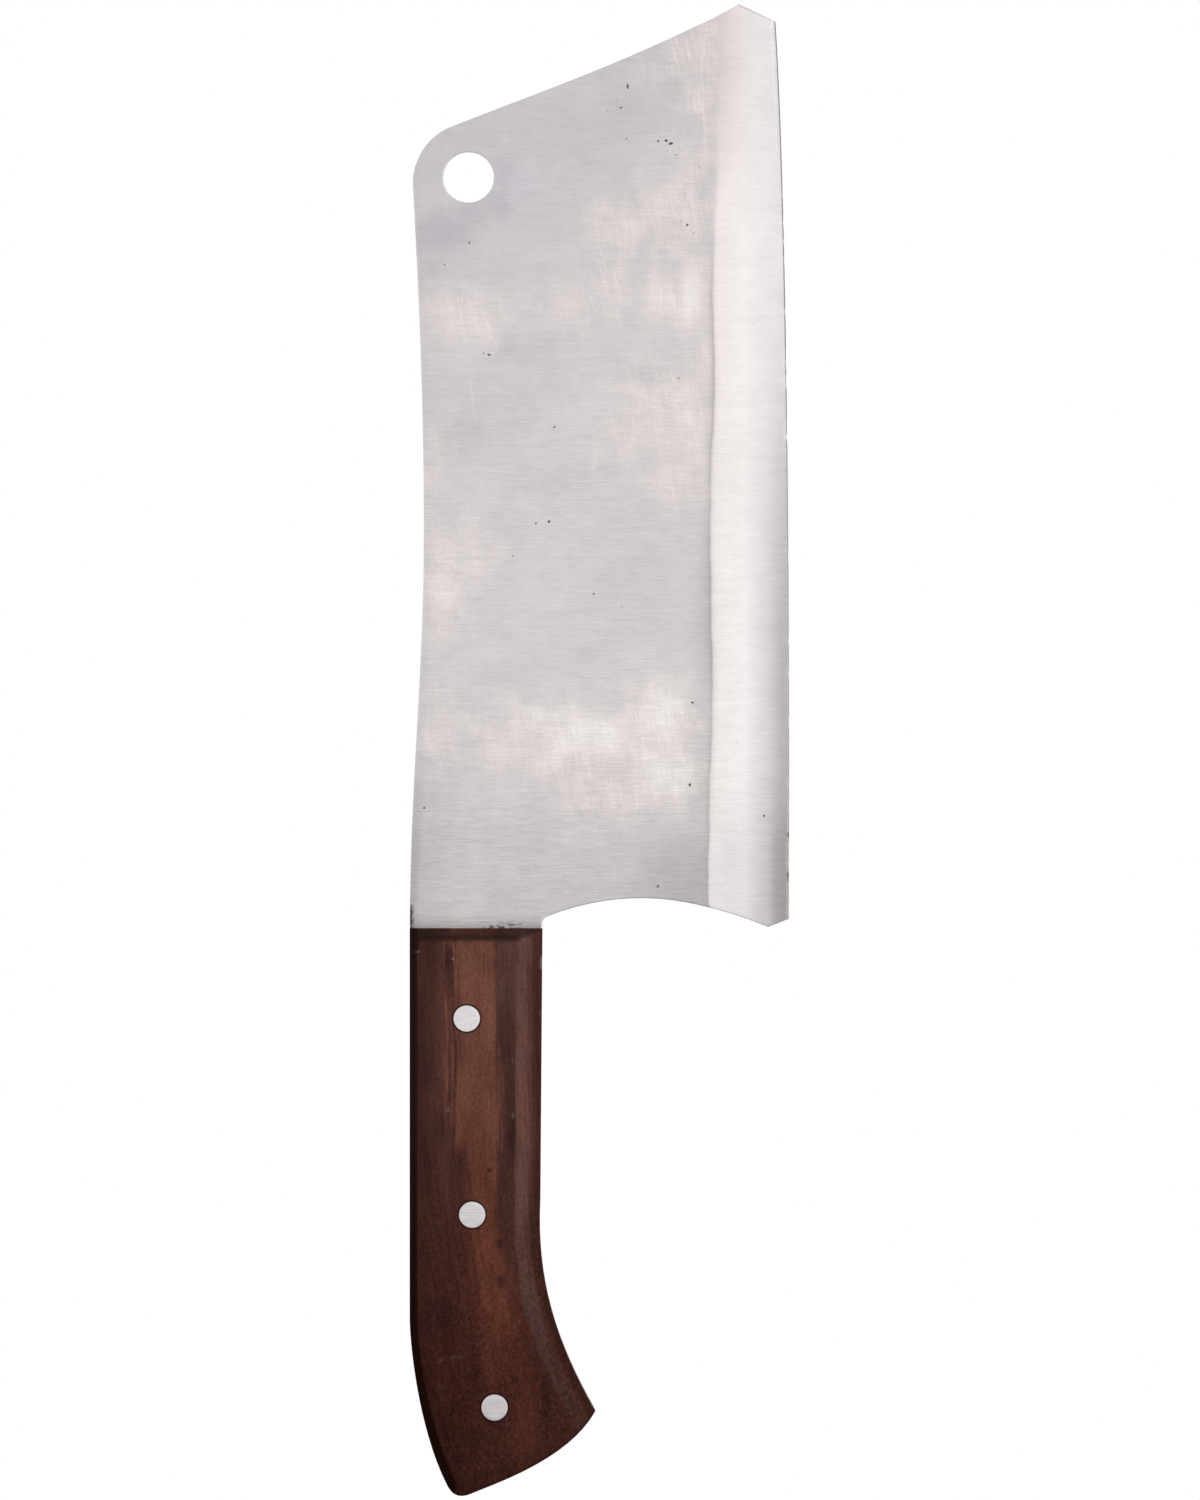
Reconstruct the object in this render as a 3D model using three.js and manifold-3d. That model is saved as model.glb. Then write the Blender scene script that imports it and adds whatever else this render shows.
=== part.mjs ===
// A butcher's cleaver: a steel blade with a full tang, two wooden handle scales and three cutler's rivets,
// each rivet a stud pressed into a sleeve.
//
// Sizes are in millimetres and angles in degrees. X runs across the blade from the spine to the cutting edge,
// Y runs through it from the front face to the back face, and Z runs up from the butt of the handle to the tip.
// The origin is the middle of the hanging hole, on the middle plane of the blade.

import * as THREE from 'three';
import { mergeVertices } from 'three/addons/utils/BufferGeometryUtils.js';
import Module from 'manifold-3d';

// Blade stock and grind
const BLADE_THICKNESS = 4;
const BEVEL_WIDTH = 18.5;
const BEVEL_CROWN = 0.25;
const MICRO_BEVEL_WIDTH = 0.7;
const MICRO_BEVEL_THICKNESS = 0.8;
const EDGE_THICKNESS = 0.3;

// Blade outline, across and up or down from the middle of the hanging hole
const HANGING_HOLE_DIAMETER = 12;
const HOLE_TO_SPINE = 13.2;
const CORNER_RADIUS = 14.4;
const CORNER_DROP = 1.4;
const TIP_ACROSS = 63.9;
const TIP_RISE = 41;
const EDGE_TOP_ACROSS = 72.7;
const EDGE_TOP_RISE = 37;
const HEEL_ACROSS = 75.9;
const HEEL_DROP = 175.7;
const HEEL_CORNER_ACROSS = 71.2;
const HEEL_CORNER_DROP = 177.6;
const SCALLOP_DROP = 175.5;
const FINGER_ROUND = 1.5;
const SPINE_HOLLOW = 2.6;
const SPINE_HOLLOW_DROP = 84;

// Slopes of the blade outline: the top edge and the scallop from level, the spine and the edge from upright
const TOP_SLOPE_AT_CORNER = 21.4;
const TOP_SLOPE_AT_TIP = 28.1;
const EDGE_RAKE_AT_TIP = 3.9;
const EDGE_RAKE_AT_HEEL = 0.3;
const SCALLOP_SLOPE_AT_HEEL = 22.4;
const SCALLOP_SLOPE_AT_HANDLE = 20.8;
const SPINE_RAKE_AT_CORNER = 3;

// Handle outline: where its front and back lie from the hole, then across from its back, and down from its front
// or up from its toe
const HOLE_TO_HANDLE_FRONT = 177.9;
const HOLE_TO_HANDLE_BACK = 13.9;
const HANDLE_WIDTH = 31.4;
const GRIP_WIDTH = 30.9;
const GRIP_DROP = 64.4;
const BEAK_ACROSS = 43.9;
const BEAK_RISE = 21.1;
const TOE_ACROSS = 10.6;
const HANDLE_LENGTH = 135.4;
const TOE_ROUND = 4;
const BACK_STRAIGHT = 77;

// Headings of the handle outline, turning left from +X
const BACK_HEADING_AT_TOE = -61.2;
const BUTT_HEADING_AT_TOE = 23.1;
const BUTT_HEADING_AT_BEAK = 60.9;
const BELLY_HEADING_AT_BEAK = 119.4;
const BELLY_HEADING_AT_GRIP = 87.2;

// Handle scales: the outer edges are chamfered at the front and the belly, and rounded along the back and butt
const SCALE_THICKNESS = 9;
const SCALE_EDGE_DEPTH = 3.2;
const FRONT_CHAMFER = 3;
const BELLY_CHAMFER = 6;
const BACK_ROUND = 2.2;
const BOND_LINE = 0.1;

// Rivets: across from the handle's back and down from its front, but the bottom one up from the toe
const BOTTOM_RIVET_RISE = 22.1;
const RIVETS = [
  { name: 'top', across: 13.5, down: 21.3 },
  { name: 'middle', across: 14.8, down: 67.7 },
  { name: 'bottom', across: 20.1, down: HANDLE_LENGTH - BOTTOM_RIVET_RISE },
];
const RIVET_HEAD_DIAMETER = 6.35;
const RIVET_HEAD_THICKNESS = 1.3;
const RIVET_HEAD_SINK = 0.05;
const SLEEVE_DIAMETER = 4.8;
const SLEEVE_BORE = 3.2;
const STUD_DIAMETER = 3;
const STUD_TIP_CHAMFER = 0.4;
const SLEEVE_END_GAP = 1.5;
const STUD_END_GAP = 4;
const RIVET_CLEARANCE = 0.1;

// How finely curves are drawn
const CURVE_STEPS = 14;
const EDGE_STEPS = 24;
const BEVEL_STEPS = 8;
const EDGE_ROUND_STEPS = 4;
const TURN_STEPS = 40;
const PULL = 0.37;
const EDGE_PULL_AT_TIP = 0.18;
const OVERCUT = 5;

// Sizes that follow from the ones above
const BLADE_HALF = BLADE_THICKNESS / 2;
const HANDLE_HALF = BLADE_HALF + BOND_LINE + SCALE_THICKNESS;
const HEAD_GAP = 2 * (HANDLE_HALF - RIVET_HEAD_SINK - RIVET_HEAD_THICKNESS);
const SLEEVE_LENGTH = RIVET_HEAD_THICKNESS + HEAD_GAP - SLEEVE_END_GAP;
const STUD_LENGTH = RIVET_HEAD_THICKNESS + HEAD_GAP - STUD_END_GAP;

const STEEL = new THREE.MeshStandardMaterial({ color: 0xc8c4c6, roughness: 0.42, metalness: 0.9 });
const WOOD = new THREE.MeshStandardMaterial({ color: 0x4a261b, roughness: 0.5, metalness: 0 });
const RIVET_METAL = new THREE.MeshStandardMaterial({ color: 0xd6d6d8, roughness: 0.35, metalness: 0.9 });

const wasm = await Module();
wasm.setup();

// Turns a closed mesh into a solid that can be joined and cut.
function toSolid(geometry) {
  const bare = geometry.clone();
  bare.deleteAttribute('normal');
  bare.deleteAttribute('uv');
  const merged = mergeVertices(bare);
  const vertProperties = new Float32Array(merged.attributes.position.array);
  const triVerts = new Uint32Array(merged.index.array);
  return new wasm.Manifold(new wasm.Mesh({ numProp: 3, vertProperties, triVerts }));
}

// Turns a solid back into a mesh.
function toGeometry(solid) {
  const { vertProperties, triVerts } = solid.getMesh();
  const geometry = new THREE.BufferGeometry();
  geometry.setAttribute('position', new THREE.BufferAttribute(vertProperties, 3));
  geometry.setIndex(new THREE.BufferAttribute(triVerts, 1));
  geometry.computeVertexNormals();
  return geometry;
}

// Skins a solid over sections stacked up Z. Each section is a ring of points, counter-clockwise from above.
function loft(sections) {
  const count = sections[0].ring.length;
  const positions = sections.flatMap(({ ring, height }) => ring.flatMap(({ x, y }) => [x, y, height]));
  const faces = [];
  for (let level = 0; level < sections.length - 1; level += 1) {
    for (let i = 0; i < count; i += 1) {
      const a = level * count + i;
      const b = level * count + (i + 1) % count;
      faces.push(a, b, b + count, a, b + count, a + count);
    }
  }
  const lid = (sections.length - 1) * count;
  for (const [a, b, c] of THREE.ShapeUtils.triangulateShape(sections[0].ring, [])) {
    faces.push(c, b, a);
  }
  for (const [a, b, c] of THREE.ShapeUtils.triangulateShape(sections.at(-1).ring, [])) {
    faces.push(lid + a, lid + b, lid + c);
  }
  const geometry = new THREE.BufferGeometry();
  geometry.setAttribute('position', new THREE.Float32BufferAttribute(positions, 3));
  geometry.setIndex(faces);
  return geometry;
}

// A step of a given length on a heading.
function stride(heading, length) {
  const angle = THREE.MathUtils.degToRad(heading);
  return new THREE.Vector2(Math.cos(angle), Math.sin(angle)).multiplyScalar(length);
}

// The cubic that leaves one point on a heading and arrives at another on a second heading.
function sweep(start, leave, end, arrive, leavePull = PULL) {
  const chord = start.distanceTo(end);
  const first = stride(leave, chord * leavePull).add(start);
  const second = stride(arrive, -chord * PULL).add(end);
  return new THREE.CubicBezierCurve(start, first, second, end);
}

// Adds such a cubic to the end of a path.
function sweepTo(path, leave, end, arrive) {
  const curve = sweep(path.currentPoint.clone(), leave, end, arrive);
  path.bezierCurveTo(curve.v1.x, curve.v1.y, curve.v2.x, curve.v2.y, end.x, end.y);
}

// A point of the handle, across from its back and down from its front.
function handlePoint(across, down) {
  return new THREE.Vector2(across - HOLE_TO_HANDLE_BACK, -down - HOLE_TO_HANDLE_FRONT);
}

const handleFrontBack = handlePoint(0, 0);
const handleFrontBelly = handlePoint(HANDLE_WIDTH, 0);
const beak = handlePoint(BEAK_ACROSS, HANDLE_LENGTH - BEAK_RISE);

// From the front of the handle down its back, round the toe and along the butt to the beak.
function drawHandleBack(path) {
  const straightEnd = handlePoint(0, BACK_STRAIGHT);
  const toe = handlePoint(TOE_ACROSS, HANDLE_LENGTH);
  const toeStart = stride(BACK_HEADING_AT_TOE, -TOE_ROUND).add(toe);
  const toeEnd = stride(BUTT_HEADING_AT_TOE, TOE_ROUND).add(toe);
  path.lineTo(straightEnd.x, straightEnd.y);
  sweepTo(path, -90, toeStart, BACK_HEADING_AT_TOE);
  path.quadraticCurveTo(toe.x, toe.y, toeEnd.x, toeEnd.y);
  sweepTo(path, BUTT_HEADING_AT_TOE, beak, BUTT_HEADING_AT_BEAK);
  return path;
}

// From the beak up the belly to the front of the handle.
function drawHandleBelly(path) {
  sweepTo(path, BELLY_HEADING_AT_BEAK, handlePoint(GRIP_WIDTH, GRIP_DROP), BELLY_HEADING_AT_GRIP);
  path.lineTo(handleFrontBelly.x, handleFrontBelly.y);
  return path;
}

// The line of the cutting edge, from the tip facet down to the heel.
const edgeTop = new THREE.Vector2(EDGE_TOP_ACROSS, EDGE_TOP_RISE);
const edgeHeel = new THREE.Vector2(HEEL_ACROSS, -HEEL_DROP);
const edgeLine = sweep(edgeTop, EDGE_RAKE_AT_TIP - 90, edgeHeel, -EDGE_RAKE_AT_HEEL - 90, EDGE_PULL_AT_TIP);

// From the front of the handle round the scallop, heel, tip, top edge and spine, and back to the handle. The
// facets at the heel and the tip run on past the cutting edge, which the ground stock itself sets.
function drawBlade(path) {
  const tip = new THREE.Vector2(TIP_ACROSS, TIP_RISE);
  const heelCorner = new THREE.Vector2(HEEL_CORNER_ACROSS, -HEEL_CORNER_DROP);
  const pastHeel = edgeHeel.clone().sub(heelCorner).setLength(OVERCUT).add(edgeHeel);
  const pastTip = edgeTop.clone().sub(tip).setLength(OVERCUT).add(edgeTop);
  const finger = new THREE.Vector2(handleFrontBelly.x, -SCALLOP_DROP);
  const scallopStart = stride(SCALLOP_SLOPE_AT_HANDLE, FINGER_ROUND).add(finger);
  const corner = new THREE.Vector2(CORNER_RADIUS - HOLE_TO_SPINE, -CORNER_DROP);
  const cornerStart = stride(90 + TOP_SLOPE_AT_CORNER, CORNER_RADIUS).add(corner);
  const cornerTurn = THREE.MathUtils.degToRad(90 + TOP_SLOPE_AT_CORNER);
  const hollow = new THREE.Vector2(SPINE_HOLLOW - HOLE_TO_SPINE, -SPINE_HOLLOW_DROP);

  path.lineTo(finger.x, finger.y - FINGER_ROUND);
  path.quadraticCurveTo(finger.x, finger.y, scallopStart.x, scallopStart.y);
  sweepTo(path, SCALLOP_SLOPE_AT_HANDLE, heelCorner, -SCALLOP_SLOPE_AT_HEEL);
  path.lineTo(pastHeel.x, pastHeel.y);
  path.lineTo(pastTip.x, pastTip.y);
  path.lineTo(tip.x, tip.y);
  sweepTo(path, 180 + TOP_SLOPE_AT_TIP, cornerStart, 180 + TOP_SLOPE_AT_CORNER);
  path.absarc(corner.x, corner.y, CORNER_RADIUS, cornerTurn, Math.PI);
  sweepTo(path, SPINE_RAKE_AT_CORNER - 90, hollow, -90);
  sweepTo(path, -90, handleFrontBack, -90);
  return path;
}

// Half the thickness of the blade at a share of the way across the bevel: a straight grind with a crown on it.
function bevelHalf(share) {
  const straight = THREE.MathUtils.lerp(BLADE_HALF, MICRO_BEVEL_THICKNESS / 2, share);
  return straight + BEVEL_CROWN * 4 * share * (1 - share);
}

// Steel stock with both faces ground to the edge: level sections that follow the line of the cutting edge.
function groundStock() {
  const spineSide = -Math.max(HOLE_TO_SPINE, HOLE_TO_HANDLE_BACK) - OVERCUT;
  const bevelLine = HEEL_ACROSS - BEVEL_WIDTH;
  const sectionAt = (edge, height) => {
    const microStart = edge - MICRO_BEVEL_WIDTH;
    const half = [new THREE.Vector2(spineSide, BLADE_HALF)];
    for (let step = 0; step <= BEVEL_STEPS; step += 1) {
      const share = step / BEVEL_STEPS;
      half.push(new THREE.Vector2(THREE.MathUtils.lerp(bevelLine, microStart, share), bevelHalf(share)));
    }
    half.push(new THREE.Vector2(edge, EDGE_THICKNESS / 2));
    const front = half.map(({ x, y }) => new THREE.Vector2(x, -y));
    return { ring: [...front, ...half.reverse()], height };
  };
  const down = edgeLine.getPoints(EDGE_STEPS).reverse();
  const belowHandle = -HOLE_TO_HANDLE_FRONT - HANDLE_LENGTH - OVERCUT;
  return loft([
    sectionAt(down[0].x, belowHandle),
    ...down.map(({ x, y }) => sectionAt(x, y)),
    sectionAt(down.at(-1).x, TIP_RISE + OVERCUT),
  ]);
}

// The blade and its tang in one piece, drilled for hanging and for the rivets.
function bladeGeometry() {
  const outline = new THREE.Shape().moveTo(handleFrontBack.x, handleFrontBack.y);
  drawBlade(drawHandleBelly(drawHandleBack(outline)));
  const drill = (x, y, diameter) => {
    outline.holes.push(new THREE.Path().absarc(x, y, diameter / 2, 0, 2 * Math.PI));
  };
  drill(0, 0, HANGING_HOLE_DIAMETER);
  for (const { across, down } of RIVETS) {
    const { x, y } = handlePoint(across, down);
    drill(x, y, SLEEVE_DIAMETER + 2 * RIVET_CLEARANCE);
  }
  const depth = BLADE_THICKNESS + 2 * OVERCUT;
  const blank = new THREE.ExtrudeGeometry(outline, { depth, curveSegments: CURVE_STEPS, bevelEnabled: false });
  blank.translate(0, 0, -depth / 2).rotateX(Math.PI / 2);
  return toGeometry(toSolid(groundStock()).intersect(toSolid(blank)));
}

// Moves a line of points to its left by a width. A closed line runs on from its last point to its first.
function offsetLine(points, width, isClosed) {
  const count = points.length;
  const leftOf = (i) => {
    const start = points[(i + count) % count];
    const side = points[(i + 1) % count].clone().sub(start).normalize();
    return new THREE.Vector2(-side.y, side.x);
  };
  return points.map((point, i) => {
    const before = leftOf(isClosed || i > 0 ? i - 1 : i);
    const after = leftOf(isClosed || i < count - 1 ? i : i - 1);
    const mitre = before.clone().add(after).divideScalar(1 + before.dot(after));
    return mitre.multiplyScalar(width).add(point);
  });
}

// Lengthens a line of points at both ends.
function extendLine(points, length) {
  const reach = (end, next) => end.clone().sub(next).setLength(length).add(end);
  return [reach(points[0], points[1]), ...points.slice(1, -1), reach(points.at(-1), points.at(-2))];
}

// Skins sections drawn in the plane of the blade, each a distance out from the tang on one side of it.
function loftOut(sections, side) {
  const stacked = sections.map(({ ring, out }) => ({ ring, height: -side * out }));
  stacked.sort((one, other) => one.height - other.height);
  return loft(stacked).rotateX(Math.PI / 2);
}

// What a plane takes off one outer edge of a scale, along a line with the wood on its left.
function chamferCutter(line, width, side) {
  const long = extendLine(line, OVERCUT);
  const foot = new THREE.Vector2(0, SCALE_THICKNESS - SCALE_EDGE_DEPTH);
  const brow = new THREE.Vector2(width, SCALE_THICKNESS);
  const sections = extendLine([foot, brow], OVERCUT).map(({ x, y }) => ({
    ring: [...offsetLine(long, -2 * OVERCUT), ...offsetLine(long, x).reverse()],
    out: y,
  }));
  return loftOut(sections, side);
}

// One scale from the tang outwards: rounded all round, then planed along the belly and across the front, and
// drilled for the rivets. Side -1 is the front of the cleaver and 1 is the back.
function scaleGeometry(side) {
  const back = drawHandleBack(new THREE.Path().moveTo(handleFrontBack.x, handleFrontBack.y)).getPoints(CURVE_STEPS);
  const belly = drawHandleBelly(new THREE.Path().moveTo(beak.x, beak.y)).getPoints(CURVE_STEPS);
  const outline = [...back, ...belly.slice(1)];
  const sections = [{ ring: outline, out: 0 }];
  for (let step = 0; step <= EDGE_ROUND_STEPS; step += 1) {
    const angle = step / EDGE_ROUND_STEPS * Math.PI / 2;
    sections.push({
      ring: offsetLine(outline, BACK_ROUND * (1 - Math.cos(angle)), true),
      out: SCALE_THICKNESS - SCALE_EDGE_DEPTH * (1 - Math.sin(angle)),
    });
  }
  const cutters = [
    chamferCutter(belly, BELLY_CHAMFER, side),
    chamferCutter([handleFrontBelly, handleFrontBack], FRONT_CHAMFER, side),
    ...RIVETS.map((rivet) => rivetCutter(rivet, side)),
  ];
  const blank = toSolid(loftOut(sections, side));
  return toGeometry(cutters.reduce((solid, cutter) => solid.subtract(toSolid(cutter)), blank));
}

// What a drill takes out of a scale for one rivet: a seat for the head, then a way through for the sleeve.
function rivetCutter({ across, down }, side) {
  const { x, y } = handlePoint(across, down);
  const head = RIVET_HEAD_DIAMETER / 2 + RIVET_CLEARANCE;
  const sleeve = SLEEVE_DIAMETER / 2 + RIVET_CLEARANCE;
  const seat = RIVET_HEAD_SINK + RIVET_HEAD_THICKNESS + RIVET_CLEARANCE;
  const cutter = turned([
    [0, -OVERCUT],
    [head, -OVERCUT],
    [head, seat],
    [sleeve, seat],
    [sleeve, SCALE_THICKNESS + OVERCUT],
    [0, SCALE_THICKNESS + OVERCUT],
  ]);
  if (side > 0) {
    cutter.rotateX(Math.PI);
  }
  return cutter.translate(x, side * SCALE_THICKNESS, y);
}

// A piece turned about Y from a profile of radius and height.
function turned(profile) {
  return new THREE.LatheGeometry(profile.map(([radius, height]) => new THREE.Vector2(radius, height)), TURN_STEPS);
}

// The half of a rivet with a solid pin, from the outside of its head inwards.
function studGeometry() {
  const head = RIVET_HEAD_DIAMETER / 2;
  const pin = STUD_DIAMETER / 2;
  return turned([
    [0, 0],
    [head, 0],
    [head, RIVET_HEAD_THICKNESS],
    [pin, RIVET_HEAD_THICKNESS],
    [pin, STUD_LENGTH - STUD_TIP_CHAMFER],
    [pin - STUD_TIP_CHAMFER, STUD_LENGTH],
    [0, STUD_LENGTH],
  ]);
}

// The half of a rivet with a blind tube, from the outside of its head inwards.
function sleeveGeometry() {
  const head = RIVET_HEAD_DIAMETER / 2;
  const tube = SLEEVE_DIAMETER / 2;
  const bore = SLEEVE_BORE / 2;
  return turned([
    [0, 0],
    [head, 0],
    [head, RIVET_HEAD_THICKNESS],
    [tube, RIVET_HEAD_THICKNESS],
    [tube, SLEEVE_LENGTH],
    [bore, SLEEVE_LENGTH],
    [bore, RIVET_HEAD_THICKNESS],
    [0, RIVET_HEAD_THICKNESS],
  ]);
}

function piece(name, geometry, material) {
  const mesh = new THREE.Mesh(geometry, material);
  mesh.name = name;
  return mesh;
}

const cleaver = new THREE.Group();
cleaver.add(piece('blade', bladeGeometry(), STEEL));

const frontScale = piece('front_scale', scaleGeometry(-1), WOOD);
frontScale.position.y = -BLADE_HALF - BOND_LINE;
const backScale = piece('back_scale', scaleGeometry(1), WOOD);
backScale.position.y = BLADE_HALF + BOND_LINE;
cleaver.add(frontScale, backScale);

for (const { name, across, down } of RIVETS) {
  const { x, y } = handlePoint(across, down);
  const rivet = new THREE.Group();
  rivet.position.set(x, 0, y);
  const stud = piece(`${name}_rivet_stud`, studGeometry(), RIVET_METAL);
  stud.position.y = RIVET_HEAD_SINK - HANDLE_HALF;
  const sleeve = piece(`${name}_rivet_sleeve`, sleeveGeometry(), RIVET_METAL);
  sleeve.position.y = HANDLE_HALF - RIVET_HEAD_SINK;
  sleeve.rotation.x = Math.PI;
  rivet.add(stud, sleeve);
  cleaver.add(rivet);
}

export default cleaver;
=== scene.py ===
# %% [markdown]
# # A butcher's cleaver
# The cleaver is one plate of steel, from the tip of the blade to the end of its tang, with two wooden scales
# riveted to the tang as a handle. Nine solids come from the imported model. Each of them is modelled again here with
# the soft edges, grinding marks and wear of a tool that has been used for years.
#
# X runs across the blade from the spine to the cutting edge, Y runs from the front face to the back face, and Z
# runs up from the butt of the handle to the tip. The origin is the middle of the hanging hole.

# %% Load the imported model
import math
import random
from functools import reduce

import bmesh
import bpy
import numpy as np
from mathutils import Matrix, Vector
from mathutils.geometry import interpolate_bezier


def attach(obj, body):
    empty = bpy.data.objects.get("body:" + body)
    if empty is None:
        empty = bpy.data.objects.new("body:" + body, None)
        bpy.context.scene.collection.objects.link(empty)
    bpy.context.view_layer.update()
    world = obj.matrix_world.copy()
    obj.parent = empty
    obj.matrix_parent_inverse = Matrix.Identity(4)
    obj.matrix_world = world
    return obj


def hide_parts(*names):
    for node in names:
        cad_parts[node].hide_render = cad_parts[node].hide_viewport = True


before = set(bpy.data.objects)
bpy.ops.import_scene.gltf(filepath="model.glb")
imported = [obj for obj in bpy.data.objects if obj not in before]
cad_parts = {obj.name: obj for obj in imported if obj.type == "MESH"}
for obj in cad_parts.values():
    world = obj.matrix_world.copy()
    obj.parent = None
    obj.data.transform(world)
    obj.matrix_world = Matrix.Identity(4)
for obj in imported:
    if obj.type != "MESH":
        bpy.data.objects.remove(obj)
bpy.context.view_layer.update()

MM = 0.001
bpy.ops.object.select_all(action="DESELECT")
bpy.context.scene.view_settings.view_transform = "Standard"

# %% [markdown]
# ## Drawing outlines
# The blade and the scales are flat pieces cut to a drawn line, so their outlines come first, in millimetres. A
# Bezier curve object could hold them, but plain lists of points can be shared: the tang and both scales must follow
# the same line. Each curved stretch leaves one point on a heading and arrives at the next on another, as a maker
# would draw it with a French curve, and small corners are rounded.

# %% Helpers that draw an outline
PULL = 0.37


def stride(heading, length):
    angle = math.radians(heading)
    return Vector((math.cos(angle), math.sin(angle))) * length


def sweep(start, leave, end, arrive, leave_pull=PULL, steps=16):
    chord = (end - start).length
    first = start + stride(leave, chord * leave_pull)
    second = end - stride(arrive, chord * PULL)
    return interpolate_bezier(start, first, second, end, steps + 1)[1:]


def rounded(start, corner, end, steps=8):
    return interpolate_bezier(start, start.lerp(corner, 2 / 3), end.lerp(corner, 2 / 3), end, steps + 1)[1:]


def straight(start, end, spacing=3.1):
    steps = round((end - start).length / spacing)
    return [start.lerp(end, step / steps) for step in range(1, steps + 1)]


# %% Outline of the handle
HANDLE_BACK, HANDLE_FRONT = -13.9, -177.9
TOE_HEADING, BUTT_HEADING = -63, 23.1


def handle_point(across, down):
    return Vector((HANDLE_BACK + across, HANDLE_FRONT - down))


front_at_back, front_at_belly = handle_point(0, 0), handle_point(31.4, 0)
grip, beak, toe = handle_point(30.9, 64.4), handle_point(43.9, 114.3), handle_point(10.7, 135.4)
straight_end = handle_point(0, 92)
toe_start, toe_end = toe - stride(TOE_HEADING, 4), toe + stride(BUTT_HEADING, 4)

back_curve = sweep(straight_end, -90, toe_start, TOE_HEADING, leave_pull=0.15)
back_line = [front_at_back, *straight(front_at_back, straight_end), *back_curve]
butt_curve = sweep(toe_end, BUTT_HEADING, beak, 60.9, leave_pull=0.18)
butt_line = [toe_start, *rounded(toe_start, toe, toe_end), *butt_curve]
belly_line = [beak, *sweep(beak, 119.4, grip, 87.2), *straight(grip, front_at_belly)]
front_line = [front_at_belly, *straight(front_at_belly, front_at_back)]
handle_outline = back_line + butt_line[1:] + belly_line[1:] + front_line[1:-1]
print("handle outline:", len(handle_outline), "points")

# %% [markdown]
# The cutting edge is bowed a little. Bevels are easiest to grind on a straight edge, so the blade is drawn with its
# edge pulled straight, cut into strips along that edge, and bowed afterwards.

# %% Outline of the blade, with its edge pulled straight
EDGE, BEVEL_WIDTH = 75.9, 18.5
BEVEL_LINE = EDGE - BEVEL_WIDTH
tip, edge_top = Vector((63.9, 41)), Vector((72.7, 37))
heel, heel_corner = Vector((EDGE, -175.7)), Vector((71.2, -177.6))
edge_line = [edge_top, *sweep(edge_top, -86.1, heel, -90.3, leave_pull=0.18, steps=60)]
edge_heights = [point.y for point in reversed(edge_line)]
edge_places = [point.x for point in reversed(edge_line)]


def edge_at(z):
    return float(np.interp(z, edge_heights, edge_places))


def pulled_straight(point):
    if point.x <= BEVEL_LINE:
        return point
    stretch = BEVEL_WIDTH / (edge_at(point.y) - BEVEL_LINE)
    return Vector((BEVEL_LINE + (point.x - BEVEL_LINE) * stretch, point.y))


FINGER_ROUND, SCALLOP_HEADING = 1.5, 20.8
finger = Vector((front_at_belly.x, -175.5))
finger_start, scallop_start = finger - Vector((0, FINGER_ROUND)), finger + stride(SCALLOP_HEADING, FINGER_ROUND)
corner = Vector((1.2, -1.4))
corner_arc = [corner + stride(angle, 14.4) for angle in np.linspace(111.4, 180, 20)]
spine_hollow = Vector((-10.6, -84))

blade_outline = [
    *back_line,
    *butt_line[1:],
    *belly_line[1:],
    finger_start,
    *rounded(finger_start, finger, scallop_start),
    *sweep(scallop_start, SCALLOP_HEADING, heel_corner, -22.4),
    heel,
    edge_top,
    tip,
    *sweep(tip, 208.1, corner_arc[0], 201.4),
    *corner_arc[1:],
    *sweep(corner_arc[-1], -87, spine_hollow, -90),
    *sweep(spine_hollow, -90, front_at_back, -90)[:-1],
]
blade_outline = [pulled_straight(point) for point in blade_outline]
print("blade outline:", len(blade_outline), "points")

# %% [markdown]
# ## The blade
# A real cleaver is stamped from flat steel. Here too: a filled circle with as many points as the outline is pulled
# into the outline's shape and extruded to 4 mm. The rims are then bevelled slightly, because no edge of a used
# tool is perfectly sharp, and a rounded rim catches the light.

# %% Helpers that work on a mesh in edit mode
def select_only(piece):
    bpy.ops.object.select_all(action="DESELECT")
    piece.select_set(True)
    bpy.context.view_layer.objects.active = piece


def enter_edit_mode(piece, mode):
    select_only(piece)
    bpy.ops.object.mode_set(mode="EDIT")
    bpy.ops.mesh.select_mode(type=mode)
    bpy.ops.mesh.select_all(action="DESELECT")


def leave_edit_mode():
    bpy.ops.object.mode_set(mode="OBJECT")


def choose(piece, kind, wanted):
    mesh = bmesh.from_edit_mesh(piece.data)
    for element in getattr(mesh, kind):
        element.select_set(wanted(element))
    mesh.select_flush_mode()
    bmesh.update_edit_mesh(piece.data)


def extrude(length):
    bpy.ops.mesh.extrude_region_move(TRANSFORM_OT_translate={"value": (0, length * MM, 0)})


def turn_faces_outwards():
    bpy.ops.mesh.select_all(action="SELECT")
    bpy.ops.mesh.normals_make_consistent(inside=False)


# %% Helpers that stamp a plate and soften its rims
SAME_HEIGHT = 1e-4 * MM


def stamp(name, outline, near, far):
    bpy.ops.object.select_all(action="DESELECT")
    bpy.ops.mesh.primitive_circle_add(vertices=len(outline), radius=10 * MM, fill_type="NGON")
    piece = bpy.context.object
    piece.name = piece.data.name = name
    for vertex, point in zip(piece.data.vertices, outline):
        vertex.co = (point.x * MM, near * MM, point.y * MM)
    enter_edit_mode(piece, "FACE")
    bpy.ops.mesh.select_all(action="SELECT")
    extrude(far - near)
    turn_faces_outwards()
    leave_edit_mode()
    return piece


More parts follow.
